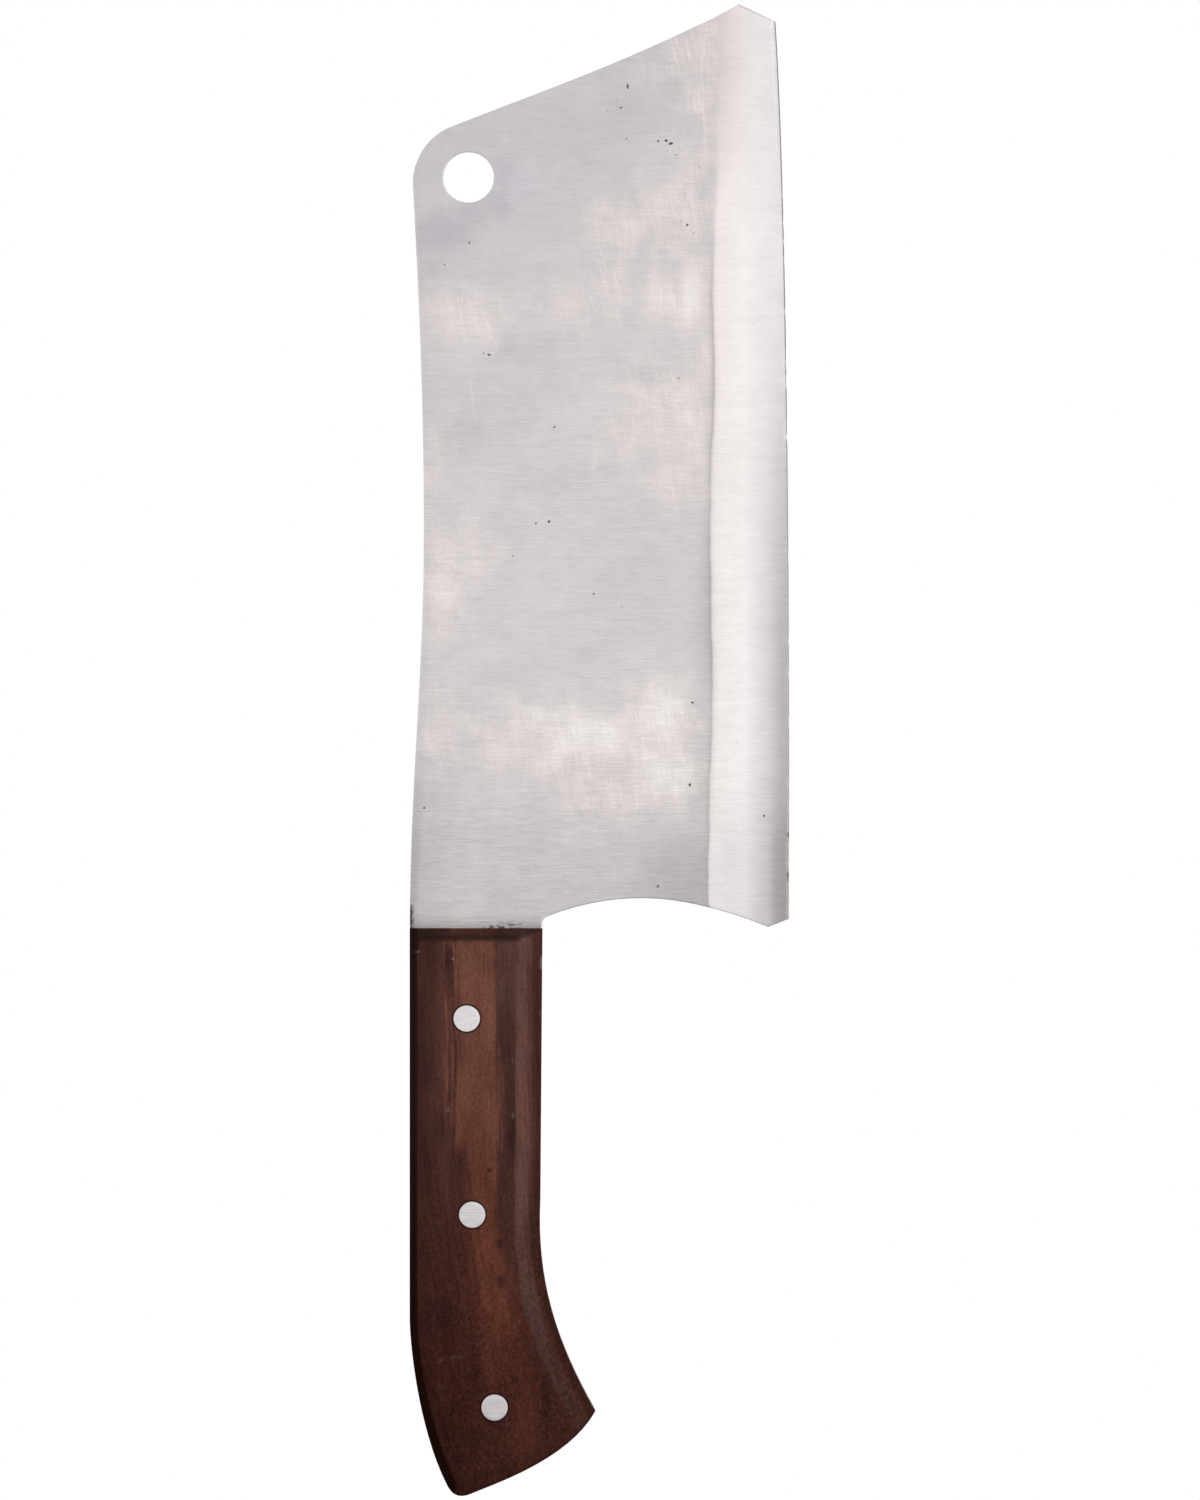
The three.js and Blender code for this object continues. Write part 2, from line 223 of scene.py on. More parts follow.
def soften(piece, width, wanted):
    enter_edit_mode(piece, "EDGE")
    choose(piece, "edges", wanted)
    bpy.ops.mesh.bevel(offset=width * MM, segments=3, profile=0.5, affect="EDGES", clamp_overlap=False)
    leave_edit_mode()


def on_rim(edge):
    return all(abs(vertex.co.y - edge.verts[0].co.y) < SAME_HEIGHT for vertex in edge.verts)


# %% Stamp the blade
HALF_BLADE, RIM_ROUND = 2.0, 0.35
blade = stamp("blade_ground", blade_outline, -HALF_BLADE, HALF_BLADE)
soften(blade, RIM_ROUND, on_rim)
print("blade blank:", len(blade.data.polygons), "faces")

# %% [markdown]
# The hanging hole and the three rivet holes are drilled: a cylinder for each is taken away with a Boolean modifier.
# The rim of the hanging hole is worn smooth by its hook, so it is bevelled like the outside.

# %% Drill the blade
HOLE_RADIUS, HOLE_ROUND, PIN_HOLE, DRILL_LENGTH = 6.0, 0.25, 2.5, 12
NEAR_HOLE = 0.02 * MM
RIVETS = {"top": handle_point(13.5, 21.3), "middle": handle_point(14.8, 67.7), "bottom": handle_point(20.1, 113.3)}


def rod(place, middle, radius, length, sides=72):
    bpy.ops.object.select_all(action="DESELECT")
    bpy.ops.mesh.primitive_cylinder_add(
        vertices=sides,
        radius=radius * MM,
        depth=length * MM,
        location=(place.x * MM, middle * MM, place.y * MM),
        rotation=(math.pi / 2, 0, 0),
    )
    return bpy.context.object


def take_away(piece, cutter):
    select_only(piece)
    boolean = piece.modifiers.new("drill", "BOOLEAN")
    boolean.object, boolean.operation, boolean.solver = cutter, "DIFFERENCE", "EXACT"
    bpy.ops.object.modifier_apply(modifier=boolean.name)
    bpy.data.objects.remove(cutter)


def on_hole_rim(edge):
    from_middle = [math.hypot(vertex.co.x, vertex.co.z) for vertex in edge.verts]
    return on_rim(edge) and all(abs(distance - HOLE_RADIUS * MM) < NEAR_HOLE for distance in from_middle)


take_away(blade, rod(Vector((0, 0)), 0, HOLE_RADIUS, DRILL_LENGTH))
for place in RIVETS.values():
    take_away(blade, rod(place, 0, PIN_HOLE, DRILL_LENGTH, sides=40))
soften(blade, HOLE_ROUND, on_hole_rim)
print("blade drilled:", len(blade.data.polygons), "faces")

# %% [markdown]
# The bevel is the shape that takes the most skill on a real cleaver, so it gets most of the blade's faces. Bisect
# cuts strips along the edge and rows across them. They are closest at the bevel line and at the edge itself, where
# the surface turns fastest.

# %% Cut the ground part into strips and rows
HOLLOW_START, MICRO_START = BEVEL_LINE - 12, EDGE - 0.7
strips = [HOLLOW_START, *np.linspace(HOLLOW_START + 2, BEVEL_LINE - 1, 7), BEVEL_LINE - 0.3, BEVEL_LINE]
strips += [BEVEL_LINE + 0.25, BEVEL_LINE + 0.7, *np.linspace(BEVEL_LINE + 1.6, MICRO_START - 1, 12), MICRO_START]
rows = np.arange(-177, 41, 1.1)


def cut(piece, normal, places, wanted):
    for place in places:
        choose(piece, "faces", wanted)
        bpy.ops.mesh.bisect(plane_co=Vector(normal) * place * MM, plane_no=normal)


def in_ground_part(face):
    return face.calc_center_median().x > HOLLOW_START * MM


enter_edit_mode(blade, "FACE")
cut(blade, (1, 0, 0), strips, lambda face: True)
cut(blade, (0, 0, 1), rows, in_ground_part)
leave_edit_mode()
print("blade in strips:", len(blade.data.polygons), "faces")

# %% [markdown]
# Grinding then presses those strips to shape by moving vertices. The bevel is slightly convex and ends in a narrow
# second bevel. Next to it the flat is a little hollow, where the wheel ran over the line. The line itself wanders,
# as it does on hand-ground tools, and the edge has small nicks. Random numbers are seeded, so that every run gives
# the same blade.

# %% Grind the bevel, bow the edge and nick it
MICRO_HALF, EDGE_HALF, CROWN, HOLLOW_DEPTH = 0.4, 0.15, 0.25, 0.07
NICK_COUNT, NICK_START = 26, 0.94
BLADE_FOOT = HANDLE_FRONT - 0.5
line_heights = (-176, -168, -150, -139, -125, -114, -93, -75, -61, -47, -36, -15, 40)
line_shifts = (-0.75, -0.7, -0.5, -0.2, 0.3, 0.2, -0.2, -0.25, 0.35, 0.95, 0.5, 0.35, 0.2)
chance = random.Random(7)
nicks = [
    (chance.uniform(-172, 20), chance.uniform(0.4, 1.0), chance.uniform(0.05, 0.16)) for _ in range(NICK_COUNT)
]


def line_shift(z):
    wander = 0.05 * math.sin(z / 1.4) + 0.09 * math.sin(z / 3.1 + 1)
    return float(np.interp(z, line_heights, line_shifts)) + wander


def half_thickness(x):
    if x <= BEVEL_LINE:
        share = (x - HOLLOW_START) / (BEVEL_LINE - HOLLOW_START)
        return HALF_BLADE - HOLLOW_DEPTH * math.sin(math.pi * share) ** 2 * share
    if x <= MICRO_START:
        share = (x - BEVEL_LINE) / (MICRO_START - BEVEL_LINE)
        return HALF_BLADE + (MICRO_HALF - HALF_BLADE) * share + CROWN * 4 * share * (1 - share)
    return MICRO_HALF + (EDGE_HALF - MICRO_HALF) * (x - MICRO_START) / (EDGE - MICRO_START)


def nick_at(z):
    return sum(deep * math.exp(-(((z - place) / wide) ** 2)) for place, wide, deep in nicks)


for vertex in blade.data.vertices:
    x, y, z = vertex.co / MM
    if x <= HOLLOW_START or z < BLADE_FOOT:
        continue
    y *= half_thickness(min(x, EDGE)) / HALF_BLADE
    shift = line_shift(z)
    if x <= BEVEL_LINE:
        x += shift * (x - HOLLOW_START) / (BEVEL_LINE - HOLLOW_START)
    else:
        share = (x - BEVEL_LINE) / BEVEL_WIDTH
        nick = nick_at(z) * max(0.0, (share - NICK_START) / (1 - NICK_START))
        x = BEVEL_LINE + shift + share * (edge_at(z) - BEVEL_LINE - shift) - nick
    vertex.co = (x * MM, y * MM, z * MM)
print("blade ground, in mm:", [round(value / MM, 1) for value in blade.dimensions])

# %% [markdown]
# Smooth shading by angle rounds off the fine steps and keeps real corners. On a plate, the large flats would pick
# up a false shine from their softened rims, so a Weighted Normal modifier lets the larger faces decide. The blade
# also carries what its finish needs to know: how far across the bevel a point is, how deep in the hollow, and
# whether it is on a rim. A UV map gives the direction of the brushing.

# %% Helpers that shade a piece and note what its finish needs
def shade(piece, angle):
    select_only(piece)
    bpy.ops.object.shade_smooth_by_angle(angle=math.radians(angle))
    even = piece.modifiers.new("even_shading", "WEIGHTED_NORMAL")
    even.keep_sharp = True
    bpy.ops.object.modifier_apply(modifier=even.name)


def note(piece, name, values):
    attribute = piece.data.attributes.new(name, "FLOAT", "POINT")
    attribute.data.foreach_set("value", np.asarray(values, np.float32))


def brushing_map(piece):
    enter_edit_mode(piece, "FACE")
    bpy.ops.mesh.select_all(action="SELECT")
    bpy.ops.uv.cube_project(cube_size=100 * MM, correct_aspect=False, scale_to_bounds=False)
    leave_edit_mode()
    piece.data.uv_layers.active.name = "brushing"


# %% Shade the blade and note where its finish changes
SHADE_WIDTH, RIM_START = 6, 0.08


def bevel_share(x, z):
    line = BEVEL_LINE + line_shift(z)
    return min(max((x - line) / (edge_at(z) - line), 0), 1)


def hollow_share(x, z):
    past = (BEVEL_LINE + line_shift(z) - x) / SHADE_WIDTH
    return (1 - past) ** 2 if 0 <= past < 1 and z > HANDLE_FRONT else 0


def rim_share(x, y):
    below_face = (HALF_BLADE - RIM_START - abs(y)) / (RIM_ROUND - RIM_START)
    return min(max(below_face, 0), 1) if x < BEVEL_LINE - 1 else 0


shade(blade, 30)
brushing_map(blade)
places = [vertex.co / MM for vertex in blade.data.vertices]
note(blade, "bevel", [bevel_share(x, z) for x, y, z in places])
note(blade, "hollow", [hollow_share(x, z) for x, y, z in places])
note(blade, "rim", [rim_share(x, y) for x, y, z in places])
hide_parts("blade")
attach(blade, "root")
print("blade:", len(blade.data.polygons), "faces")

# %% [markdown]
# ## The scales
# The two handle scales are sawn to the same outline as the tang and then shaped by hand: rounded along the back,
# eased at the butt, planed away along the belly, and cut off at a slant at the front. A single Bevel can't do four
# different edges that run into each other. So the sawn blank gets rings of faces along its rim, by Inset, and a grid
# of faces inside them, by Bisect, and every point of that surface is then lowered to the height that the plane
# leaves there.

# %% Saw one scale and divide its outer face
TANG_FACE, SCALE, EDGE_DEPTH = 2.03, 9.07, 3.2
RINGS = (0.08, 0.16, 0.24, 0.32, 0.4, 0.5, 0.5)
SCALE_STRIPS, SCALE_ROWS = np.arange(-11, 30, 1.0), np.arange(-311, -180, 1.2)
scale = stamp("front_scale_worn", handle_outline, -TANG_FACE, -TANG_FACE - SCALE + EDGE_DEPTH)
enter_edit_mode(scale, "FACE")
choose(scale, "faces", lambda face: face.normal.y < -0.9)
for width in RINGS:
    bpy.ops.mesh.inset(thickness=width * MM, depth=0, use_even_offset=True)

inner = {face.index for face in bmesh.from_edit_mesh(scale.data).faces if face.select}
leave_edit_mode()
for face in scale.data.polygons:
    face.material_index = int(face.index in inner)
enter_edit_mode(scale, "FACE")
cut(scale, (1, 0, 0), SCALE_STRIPS, lambda face: face.material_index == 1)
cut(scale, (0, 0, 1), SCALE_ROWS, lambda face: face.material_index == 1)
leave_edit_mode()
scale.data.polygons.foreach_set("material_index", np.zeros(len(scale.data.polygons), np.int32))
print("scale blank:", len(scale.data.polygons), "faces")

# %% [markdown]
# The heights follow from how far a point is from each side. Where two shapes meet, a soft minimum rubs the ridge
# between them away, as hands have done on the real handle. The slant at the front is a little wider at the back than
# at the belly.

# %% Helpers that give the planed height
BACK_ROUND, BUTT_ROUND, BELLY_PLANED = 2.2, 0.8, 6.0
SLANT_AT_BACK, SLANT_AT_BELLY = 3.4, 2.3


def distance_to(line, points):
    nearest = np.full(len(points), np.inf)
    for start, end in zip(line, line[1:]):
        start, along = np.array(start), np.array(end - start)
        share = np.clip((points - start) @ along / (along @ along), 0, 1)
        nearest = np.minimum(nearest, np.linalg.norm(points - start - share[:, None] * along, axis=1))
    return nearest


def soft_minimum(one, other, softness):
    near = np.maximum(softness - np.abs(one - other), 0) / softness
    return np.minimum(one, other) - near**2 * softness / 4


def rounded_height(distance, width):
    past = 1 - np.clip(distance / width, 0, 1)
    return SCALE - EDGE_DEPTH * (1 - np.sqrt(1 - past**2))


def planed_shapes(points):
    from_back = distance_to(back_line, points)
    from_belly = distance_to(belly_line, points)
    from_front = distance_to(front_line, points)
    from_side = np.minimum(from_back, np.minimum(from_belly, from_front))
    at_butt = rounded_height(distance_to(butt_line, points), BUTT_ROUND)
    face = np.minimum(rounded_height(from_side, BACK_ROUND), at_butt)
    past_belly = 1 - from_belly / BELLY_PLANED
    belly = SCALE - EDGE_DEPTH * (0.5 * past_belly + 0.5 * np.maximum(past_belly, 0) ** 3)
    slant = np.interp(points[:, 0], (HANDLE_BACK, front_at_belly.x), (SLANT_AT_BACK, SLANT_AT_BELLY))
    front = SCALE - EDGE_DEPTH * (1 - from_front / slant)
    return face, belly, front


# %% Plane the outer face
RIDGE_RUBBED, SLANT_RUBBED = 0.25, 0.1


def on_outer_face(piece):
    return [vertex for vertex in piece.data.vertices if abs(vertex.co.y) > (TANG_FACE + 1) * MM]


def seen_from_front(vertices):
    return np.array([(vertex.co.x / MM, vertex.co.z / MM) for vertex in vertices])


outer = on_outer_face(scale)
face, belly, front = planed_shapes(seen_from_front(outer))
heights = soft_minimum(soft_minimum(face, belly, RIDGE_RUBBED), front, SLANT_RUBBED)
for vertex, height in zip(outer, heights):
    vertex.co.y = -(TANG_FACE + height) * MM
print("scale planed, in mm:", [round(value / MM, 1) for value in scale.dimensions])

# %% [markdown]
# Each rivet needs a seat in the wood: a wide, shallow one for its head and a narrow one through to the tang. The
# cutter is a cylinder whose inner end is inset and extruded, and a Boolean takes it away.

# %% Drill the rivet seats
HEAD_RADIUS, HEAD_FACE, HEAD_THICKNESS = 3.175, 11.05, 1.3
SEAT_RADIUS, SEAT_FLOOR, SEAT_LENGTH = HEAD_RADIUS + 0.14, HEAD_FACE - HEAD_THICKNESS - 0.1, 6
THROUGH_SCALE = 10


def narrow(thinner, length):
    bpy.ops.mesh.inset(thickness=thinner * MM, depth=0)
    extrude(length)


def seat_cutter(place):
    cutter = rod(place, -(SEAT_FLOOR + SEAT_LENGTH / 2), SEAT_RADIUS, SEAT_LENGTH)
    bpy.ops.object.transform_apply(location=True, rotation=True)
    enter_edit_mode(cutter, "FACE")
    choose(cutter, "faces", lambda face: face.normal.y > 0.9)
    narrow(SEAT_RADIUS - PIN_HOLE, THROUGH_SCALE)
    leave_edit_mode()
    return cutter


for place in RIVETS.values():
    take_away(scale, seat_cutter(place))
print("scale with rivet seats:", len(scale.data.polygons), "faces")

# %% [markdown]
# The back scale is a copy with its own mesh, mirrored through the tang. A mirrored mesh is inside out, so its
# normals are turned round again. Only then does each scale get its own dents.

# %% Copy the scale to the back
def copied(piece, name):
    select_only(piece)
    bpy.ops.object.duplicate(linked=False)
    copy = bpy.context.object
    copy.name = copy.data.name = name
    return copy


back_scale = copied(scale, "back_scale_worn")
back_scale.scale.y = -1
bpy.ops.object.transform_apply(scale=True)
enter_edit_mode(back_scale, "FACE")
turn_faces_outwards()
leave_edit_mode()
print("back scale:", len(back_scale.data.polygons), "faces")

# %% Dent and chip the scales
DENT_COUNT, CLEAR_OF_RIVET = 34, 6


def wear(piece, seed, chips):
    chance = random.Random(seed)
    dents = list(chips)
    while len(dents) < DENT_COUNT:
        place = handle_point(chance.uniform(3, 38), chance.uniform(5, 128))
        if all((place - rivet).length > CLEAR_OF_RIVET for rivet in RIVETS.values()):
            dents.append((place, chance.uniform(0.7, 2.2), chance.uniform(0.03, 0.14)))
    for vertex in on_outer_face(piece):
        place = Vector((vertex.co.x, vertex.co.z)) / MM
        deep = sum(depth * math.exp(-((place - centre).length_squared / wide**2)) for centre, wide, depth in dents)
        vertex.co.y -= math.copysign(deep * MM, vertex.co.y)


wear(scale, 3, [(handle_point(31.2, 8), 1.0, 0.5), (handle_point(31.1, 10.5), 1.1, 0.4)])
wear(back_scale, 11, [(handle_point(30.8, 41), 1.6, 0.7)])
print("dents and chips on each scale:", DENT_COUNT)

# %% Shade the scales and note where their finish changes
for piece, node in ((scale, "front_scale"), (back_scale, "back_scale")):
    shade(piece, 42)
    places = seen_from_front(piece.data.vertices)
    face, belly, front = planed_shapes(places)
    note(piece, "front_slant", np.clip((np.minimum(face, belly) - front) / 0.3 + 0.3, 0, 1))
    note(piece, "from_back", distance_to(back_line, places))
    note(piece, "from_butt", distance_to(butt_line, places))
    note(piece, "from_belly", distance_to(belly_line, places))
    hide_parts(node)
    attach(piece, "root")
    print(node, len(piece.data.polygons), "faces")

# %% [markdown]
# ## The rivets
# A cutler's rivet has two halves that are pressed together: a stud with a solid pin and a sleeve with a bore. Both
# heads are ground flush with the wood, which leaves them flat with a thin, softened rim. Each half is made once, from
# a cylinder that is bevelled, inset and extruded, and copied to the other two holes.

# %% Helper that turns a rivet's head
HEAD_ROUND, DISHES = 0.16, ((0.9, 0.012), (1.0, 0.008))


def rivet_head(name, place, side):
    head = rod(place, side * (HEAD_FACE - HEAD_THICKNESS / 2), HEAD_RADIUS, HEAD_THICKNESS)
    head.name = head.data.name = name
    bpy.ops.object.transform_apply(location=True, rotation=True)
    outside = (HEAD_FACE - 0.01) * MM
    soften(head, HEAD_ROUND, lambda edge: all(side * vertex.co.y > outside for vertex in edge.verts))
    enter_edit_mode(head, "FACE")
    choose(head, "faces", lambda face: side * face.normal.y > 0.99)
    for width, depth in DISHES:
        bpy.ops.mesh.inset(thickness=width * MM, depth=depth * MM)
    choose(head, "faces", lambda face: side * face.normal.y < -0.99)
    return head


# %% Turn a stud and a sleeve
HEAD_GAP = 2 * (HEAD_FACE - HEAD_THICKNESS)
PIN_RADIUS, PIN_LENGTH, PIN_POINT, POINT_SHARE = 1.5, HEAD_GAP - 4.4, 0.4, 0.73
SLEEVE_RADIUS, SLEEVE_WALL, SLEEVE_LENGTH = 2.4, 0.8, HEAD_GAP - 1.5
stud = rivet_head("top_stud_flush", RIVETS["top"], -1)
narrow(HEAD_RADIUS - PIN_RADIUS, PIN_LENGTH)
extrude(PIN_POINT)
bpy.ops.transform.resize(value=(POINT_SHARE, 1, POINT_SHARE))
leave_edit_mode()
sleeve = rivet_head("top_sleeve_flush", RIVETS["top"], 1)
narrow(HEAD_RADIUS - SLEEVE_RADIUS, -SLEEVE_LENGTH)
narrow(SLEEVE_WALL, SLEEVE_LENGTH)
leave_edit_mode()
print("stud and sleeve:", len(stud.data.polygons), len(sleeve.data.polygons), "faces")

# %% Copy them to the other holes
def copy_to(piece, name, shift):
    copy = copied(piece, name)
    copy.location = (shift.x * MM, 0, shift.y * MM)
    bpy.ops.object.transform_apply(location=True)
    return copy


rivets = {"top_rivet_stud": stud, "top_rivet_sleeve": sleeve}
for where in ("middle", "bottom"):
    shift = RIVETS[where] - RIVETS["top"]
    rivets[where + "_rivet_stud"] = copy_to(stud, where + "_stud_flush", shift)
    rivets[where + "_rivet_sleeve"] = copy_to(sleeve, where + "_sleeve_flush", shift)
for node, piece in rivets.items():
    shade(piece, 40)
    brushing_map(piece)
    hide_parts(node)
    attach(piece, "root")
print("rivet halves:", len(rivets))

# %% [markdown]
# ## Finishes
# All colours come from nodes that read Object coordinates, which are metres in this frame, so a mark of the real
# cleaver can be given its place in millimetres. A few helpers add the nodes that every finish needs. They work on
# `finish`, the finish that was started last.

# %% Helpers that start a finish and put it on a piece
def new_finish(name):
    material = bpy.data.materials.new(name)
    material.use_nodes = True
    return material


def add(kind, inputs, **settings):
    node = finish.node_tree.nodes.new("ShaderNode" + kind)
    for setting, value in settings.items():
        setattr(node, setting, value)
    for socket, value in inputs.items():
        if isinstance(value, bpy.types.NodeSocket):
            finish.node_tree.links.new(value, node.inputs[socket])
        else:
            node.inputs[socket].default_value = value
    return node


def join(value, socket, node="Principled BSDF"):
    finish.node_tree.links.new(value, finish.node_tree.nodes[node].inputs[socket])


def fix(socket, value):
    finish.node_tree.nodes["Principled BSDF"].inputs[socket].default_value = value


def cover(pieces):
    for piece in pieces:
        piece.data.materials.clear()
        piece.data.materials.append(finish)


def count_nodes():
    print(finish.name, "has", len(finish.node_tree.nodes), "nodes")


# %% Helpers that calculate
def sums(operation, *values):
    return reduce(lambda one, other: add("Math", {0: one, 1: other}, operation=operation).outputs[0], values)


def plus(*values):
    return sums("ADD", *values)


def minus(one, other):
    return sums("SUBTRACT", one, other)


def times(*values):
    return sums("MULTIPLY", *values)


def most(*values):
    return sums("MAXIMUM", *values)


def span(value, low, high, at_low=0.0, at_high=1.0):
    limits = {"Value": value, "From Min": low, "From Max": high, "To Min": at_low, "To Max": at_high}
    return add("MapRange", limits, interpolation_type="SMOOTHSTEP").outputs[0]


# %% Helpers that colour
def mix(share, one, other, way="MIX"):
    one, other = [(*colour, 1) if isinstance(colour, tuple) else colour for colour in (one, other)]
    return add("Mix", {0: share, 6: one, 7: other}, data_type="RGBA", blend_type=way).outputs[2]


def dimmed(colour, tone):
    grey = add("CombineColor", {0: tone, 1: tone, 2: tone}).outputs[0]
    return mix(1.0, colour, grey, "MULTIPLY")


def scored(height, strength, depth):
    return add("Bump", {"Height": height, "Strength": strength, "Distance": depth * MM}).outputs[0]


# %% Helpers that place grain and marks
def object_place():
    return add("TexCoord", {}).outputs["Object"]


def in_mm(place):
    return [sums("DIVIDE", value, MM) for value in add("SeparateXYZ", {0: place}).outputs]


def noted(name):
    return add("Attribute", {}, attribute_name=name).outputs["Fac"]


def grain(place, lines_per_metre, detail=3.0, turn=0.0):
    width = [1 / lines for lines in lines_per_metre]
    inputs = {"Vector": place, "Rotation": (0, math.radians(turn), 0), "Scale": width}
    turned = add("Mapping", inputs, vector_type="TEXTURE").outputs[0]
    return add("TexNoise", {"Vector": turned, "Scale": 1.0, "Detail": detail}).outputs[0]


def spot(place, centre, size, turn=0.0, depth=(0, 1000)):
    inputs = {
        "Vector": place,
        "Location": (centre[0] * MM, depth[0] * MM, centre[1] * MM),
        "Rotation": (0, math.radians(turn), 0),
        "Scale": (size[0] * MM, depth[1] * MM, size[1] * MM),
    }
    moved = add("Mapping", inputs, vector_type="TEXTURE").outputs[0]
    return add("TexGradient", {"Vector": moved}, gradient_type="SPHERICAL").outputs[1]


def spots(place, marks, depth=(0, 1000)):
    return most(0.0, *[times(spot(place, centre, size, 0.0, depth), strength) for centre, size, strength in marks])


def shaken(place, lines_per_metre, reach):
    loose = add("Mapping", {"Vector": place, "Scale": lines_per_metre}).outputs[0]
    colour = add("TexNoise", {"Vector": loose, "Scale": 1.0, "Detail": 3.0}).outputs[1]
    centred = add("VectorMath", {0: colour, 1: (0.5, 0.5, 0.5)}, operation="SUBTRACT").outputs[0]
    scaled = add("VectorMath", {0: centred, 3: reach * MM}, operation="SCALE").outputs[0]
    return add("VectorMath", {0: place, 1: scaled}, operation="ADD").outputs[0]


# %% [markdown]
# The steel is brushed across the blade, from the spine to the edge. Stretched noises give the brushing: short dashes,
# hairlines and slow streaks. They also drive the roughness and the bump. Anisotropy stretches highlights across the
# brushing, along a UV map that runs with it. The grey is lightest in the middle of the blade, and a slow cloud of
# noise keeps it from being even.

# %% Start the blade's steel
finish = new_finish("brushed_blade_steel")
on_blade = object_place()
across_blade, through_blade, up_blade = in_mm(on_blade)
dashes = grain(on_blade, (270, 500, 3700), 2)
hairlines = grain(on_blade, (140, 700, 5600), 2)
streaks = grain(on_blade, (36, 400, 800), 3)
cloud = grain(on_blade, (34, 60, 48), 5)
blotches = grain(on_blade, (210, 300, 170), 5)
fine_grit = grain(on_blade, (2100, 1500, 2300), 3)

steel_colour = mix(span(up_blade, 20, -50), (0.583, 0.555, 0.561), (0.655, 0.625, 0.629))
steel_colour = mix(span(up_blade, -118, -172), steel_colour, (0.607, 0.576, 0.580))
steel_colour = mix(span(cloud, 0.5, 0.7, 0, 0.45), steel_colour, (0.69, 0.655, 0.655))
steel_colour = mix(span(cloud, 0.5, 0.3, 0, 0.4), steel_colour, (0.56, 0.537, 0.55))
count_nodes()

# %% [markdown]
# Years of rubbing left pale, rosy patches, some with a whiter core. Each is a soft ellipse at the place where the
# photograph shows it. Its rim is frayed by shaking the coordinates, blotches of noise are added to it, and steep
# strokes and later brushing run through it. The back of the blade doesn't show, so it gets the same marks turned end
# for end. Round the hanging hole the steel carries painted shade in a bluish grey, and the corner by the heel is
# darker.

# %% Places of the rubbed patches: middle and half width in mm, and strength
PATCHES = [
    ((-2, -33), (20, 11), 0.8), ((13, -31), (14, 9), 0.45), ((24.5, -30.5), (12, 9), 0.75),
    ((34, -24), (15, 18), 0.55), ((36, -11), (14, 10), 0.8), ((49, -10), (17, 16), 0.85), ((46, -28), (12, 14), 0.7),
    ((54, -28), (9, 17), 0.85), ((56, -46), (9, 15), 0.85), ((47, -57), (20, 22), 0.85), ((37, -62), (13, 17), 0.6),
    ((50, -71), (15, 12), 0.8), ((-7, -97), (11, 24), 0.8), ((1, -89), (12, 18), 0.5), ((-9, -70), (9, 20), 0.5),
    ((-6, -132), (15, 20), 0.55), ((13, -134), (24, 14), 0.75), ((30, -135), (29, 17), 0.95),
    ((45, -131), (16, 22), 0.95), ((37, -145), (26, 11), 0.85), ((55, 17), (10, 22), 0.5), ((55, 29), (13, 11), 0.85),
    ((55, 2), (10, 16), 0.55), ((46, 24), (11, 9), 0.35), ((59, 36), (10, 7), 0.8),
]
CORES = [
    ((45.5, -28), (7, 9), 0.55), ((52.4, -28), (3.4, 10), 0.9), ((49.6, -53.5), (9, 12), 0.5),
    ((-6, -99), (7, 13), 0.55), ((19, -127), (12, 6), 0.75), ((28.5, -132), (17, 11), 1.0),
    ((46.5, -126), (10, 13), 1.0), ((46.5, -141), (13, 11), 1.0), ((53, -57), (6, 17), 0.65),
    ((37, -10), (8, 4), 0.35), ((50, -16), (10, 9), 0.35),
]
print("rubbed patches:", len(PATCHES), "with", len(CORES), "whiter cores")

# %% Rub the patches
BLADE_MIDDLE = -68
turning = {0: on_blade, 1: (1, 1, -1), 2: (0, 0, 2 * BLADE_MIDDLE * MM)}
turned_over = add("VectorMath", turning, operation="MULTIPLY_ADD").outputs[0]
on_back = span(through_blade, -1, 1)
on_face = add("Mix", {0: on_back, 4: on_blade, 5: turned_over}, data_type="VECTOR").outputs[1]
frayed = shaken(shaken(on_face, (70, 90, 110), 5), (420, 400, 300), 2.5)
steep = plus(grain(on_face, (80, 300, 2000), 3, 72), grain(on_face, (90, 300, 2300), 3, 87))
brushed_again = span(grain(on_face, (120, 300, 1500), 3, 2), 0.36, 0.56, 0.76, 1.0)
patch = spots(frayed, PATCHES)
blotched = times(span(blotches, 0.25, 0.75, -0.14, 0.14), span(patch, 0.0, 0.35))
rubbed = times(span(plus(patch, blotched), 0.0, 0.80), span(steep, 0.78, 1.22, 0.56, 1.06), brushed_again)
steel_colour = mix(rubbed, steel_colour, (0.774, 0.686, 0.677))
core = plus(spots(frayed, CORES), span(blotches, 0.25, 0.75, -0.13, 0.13))
bright = times(span(core, 0.08, 0.95), span(steep, 0.75, 1.25, 0.66, 1.0))
steel_colour = mix(bright, steel_colour, (0.862, 0.817, 0.788))
count_nodes()
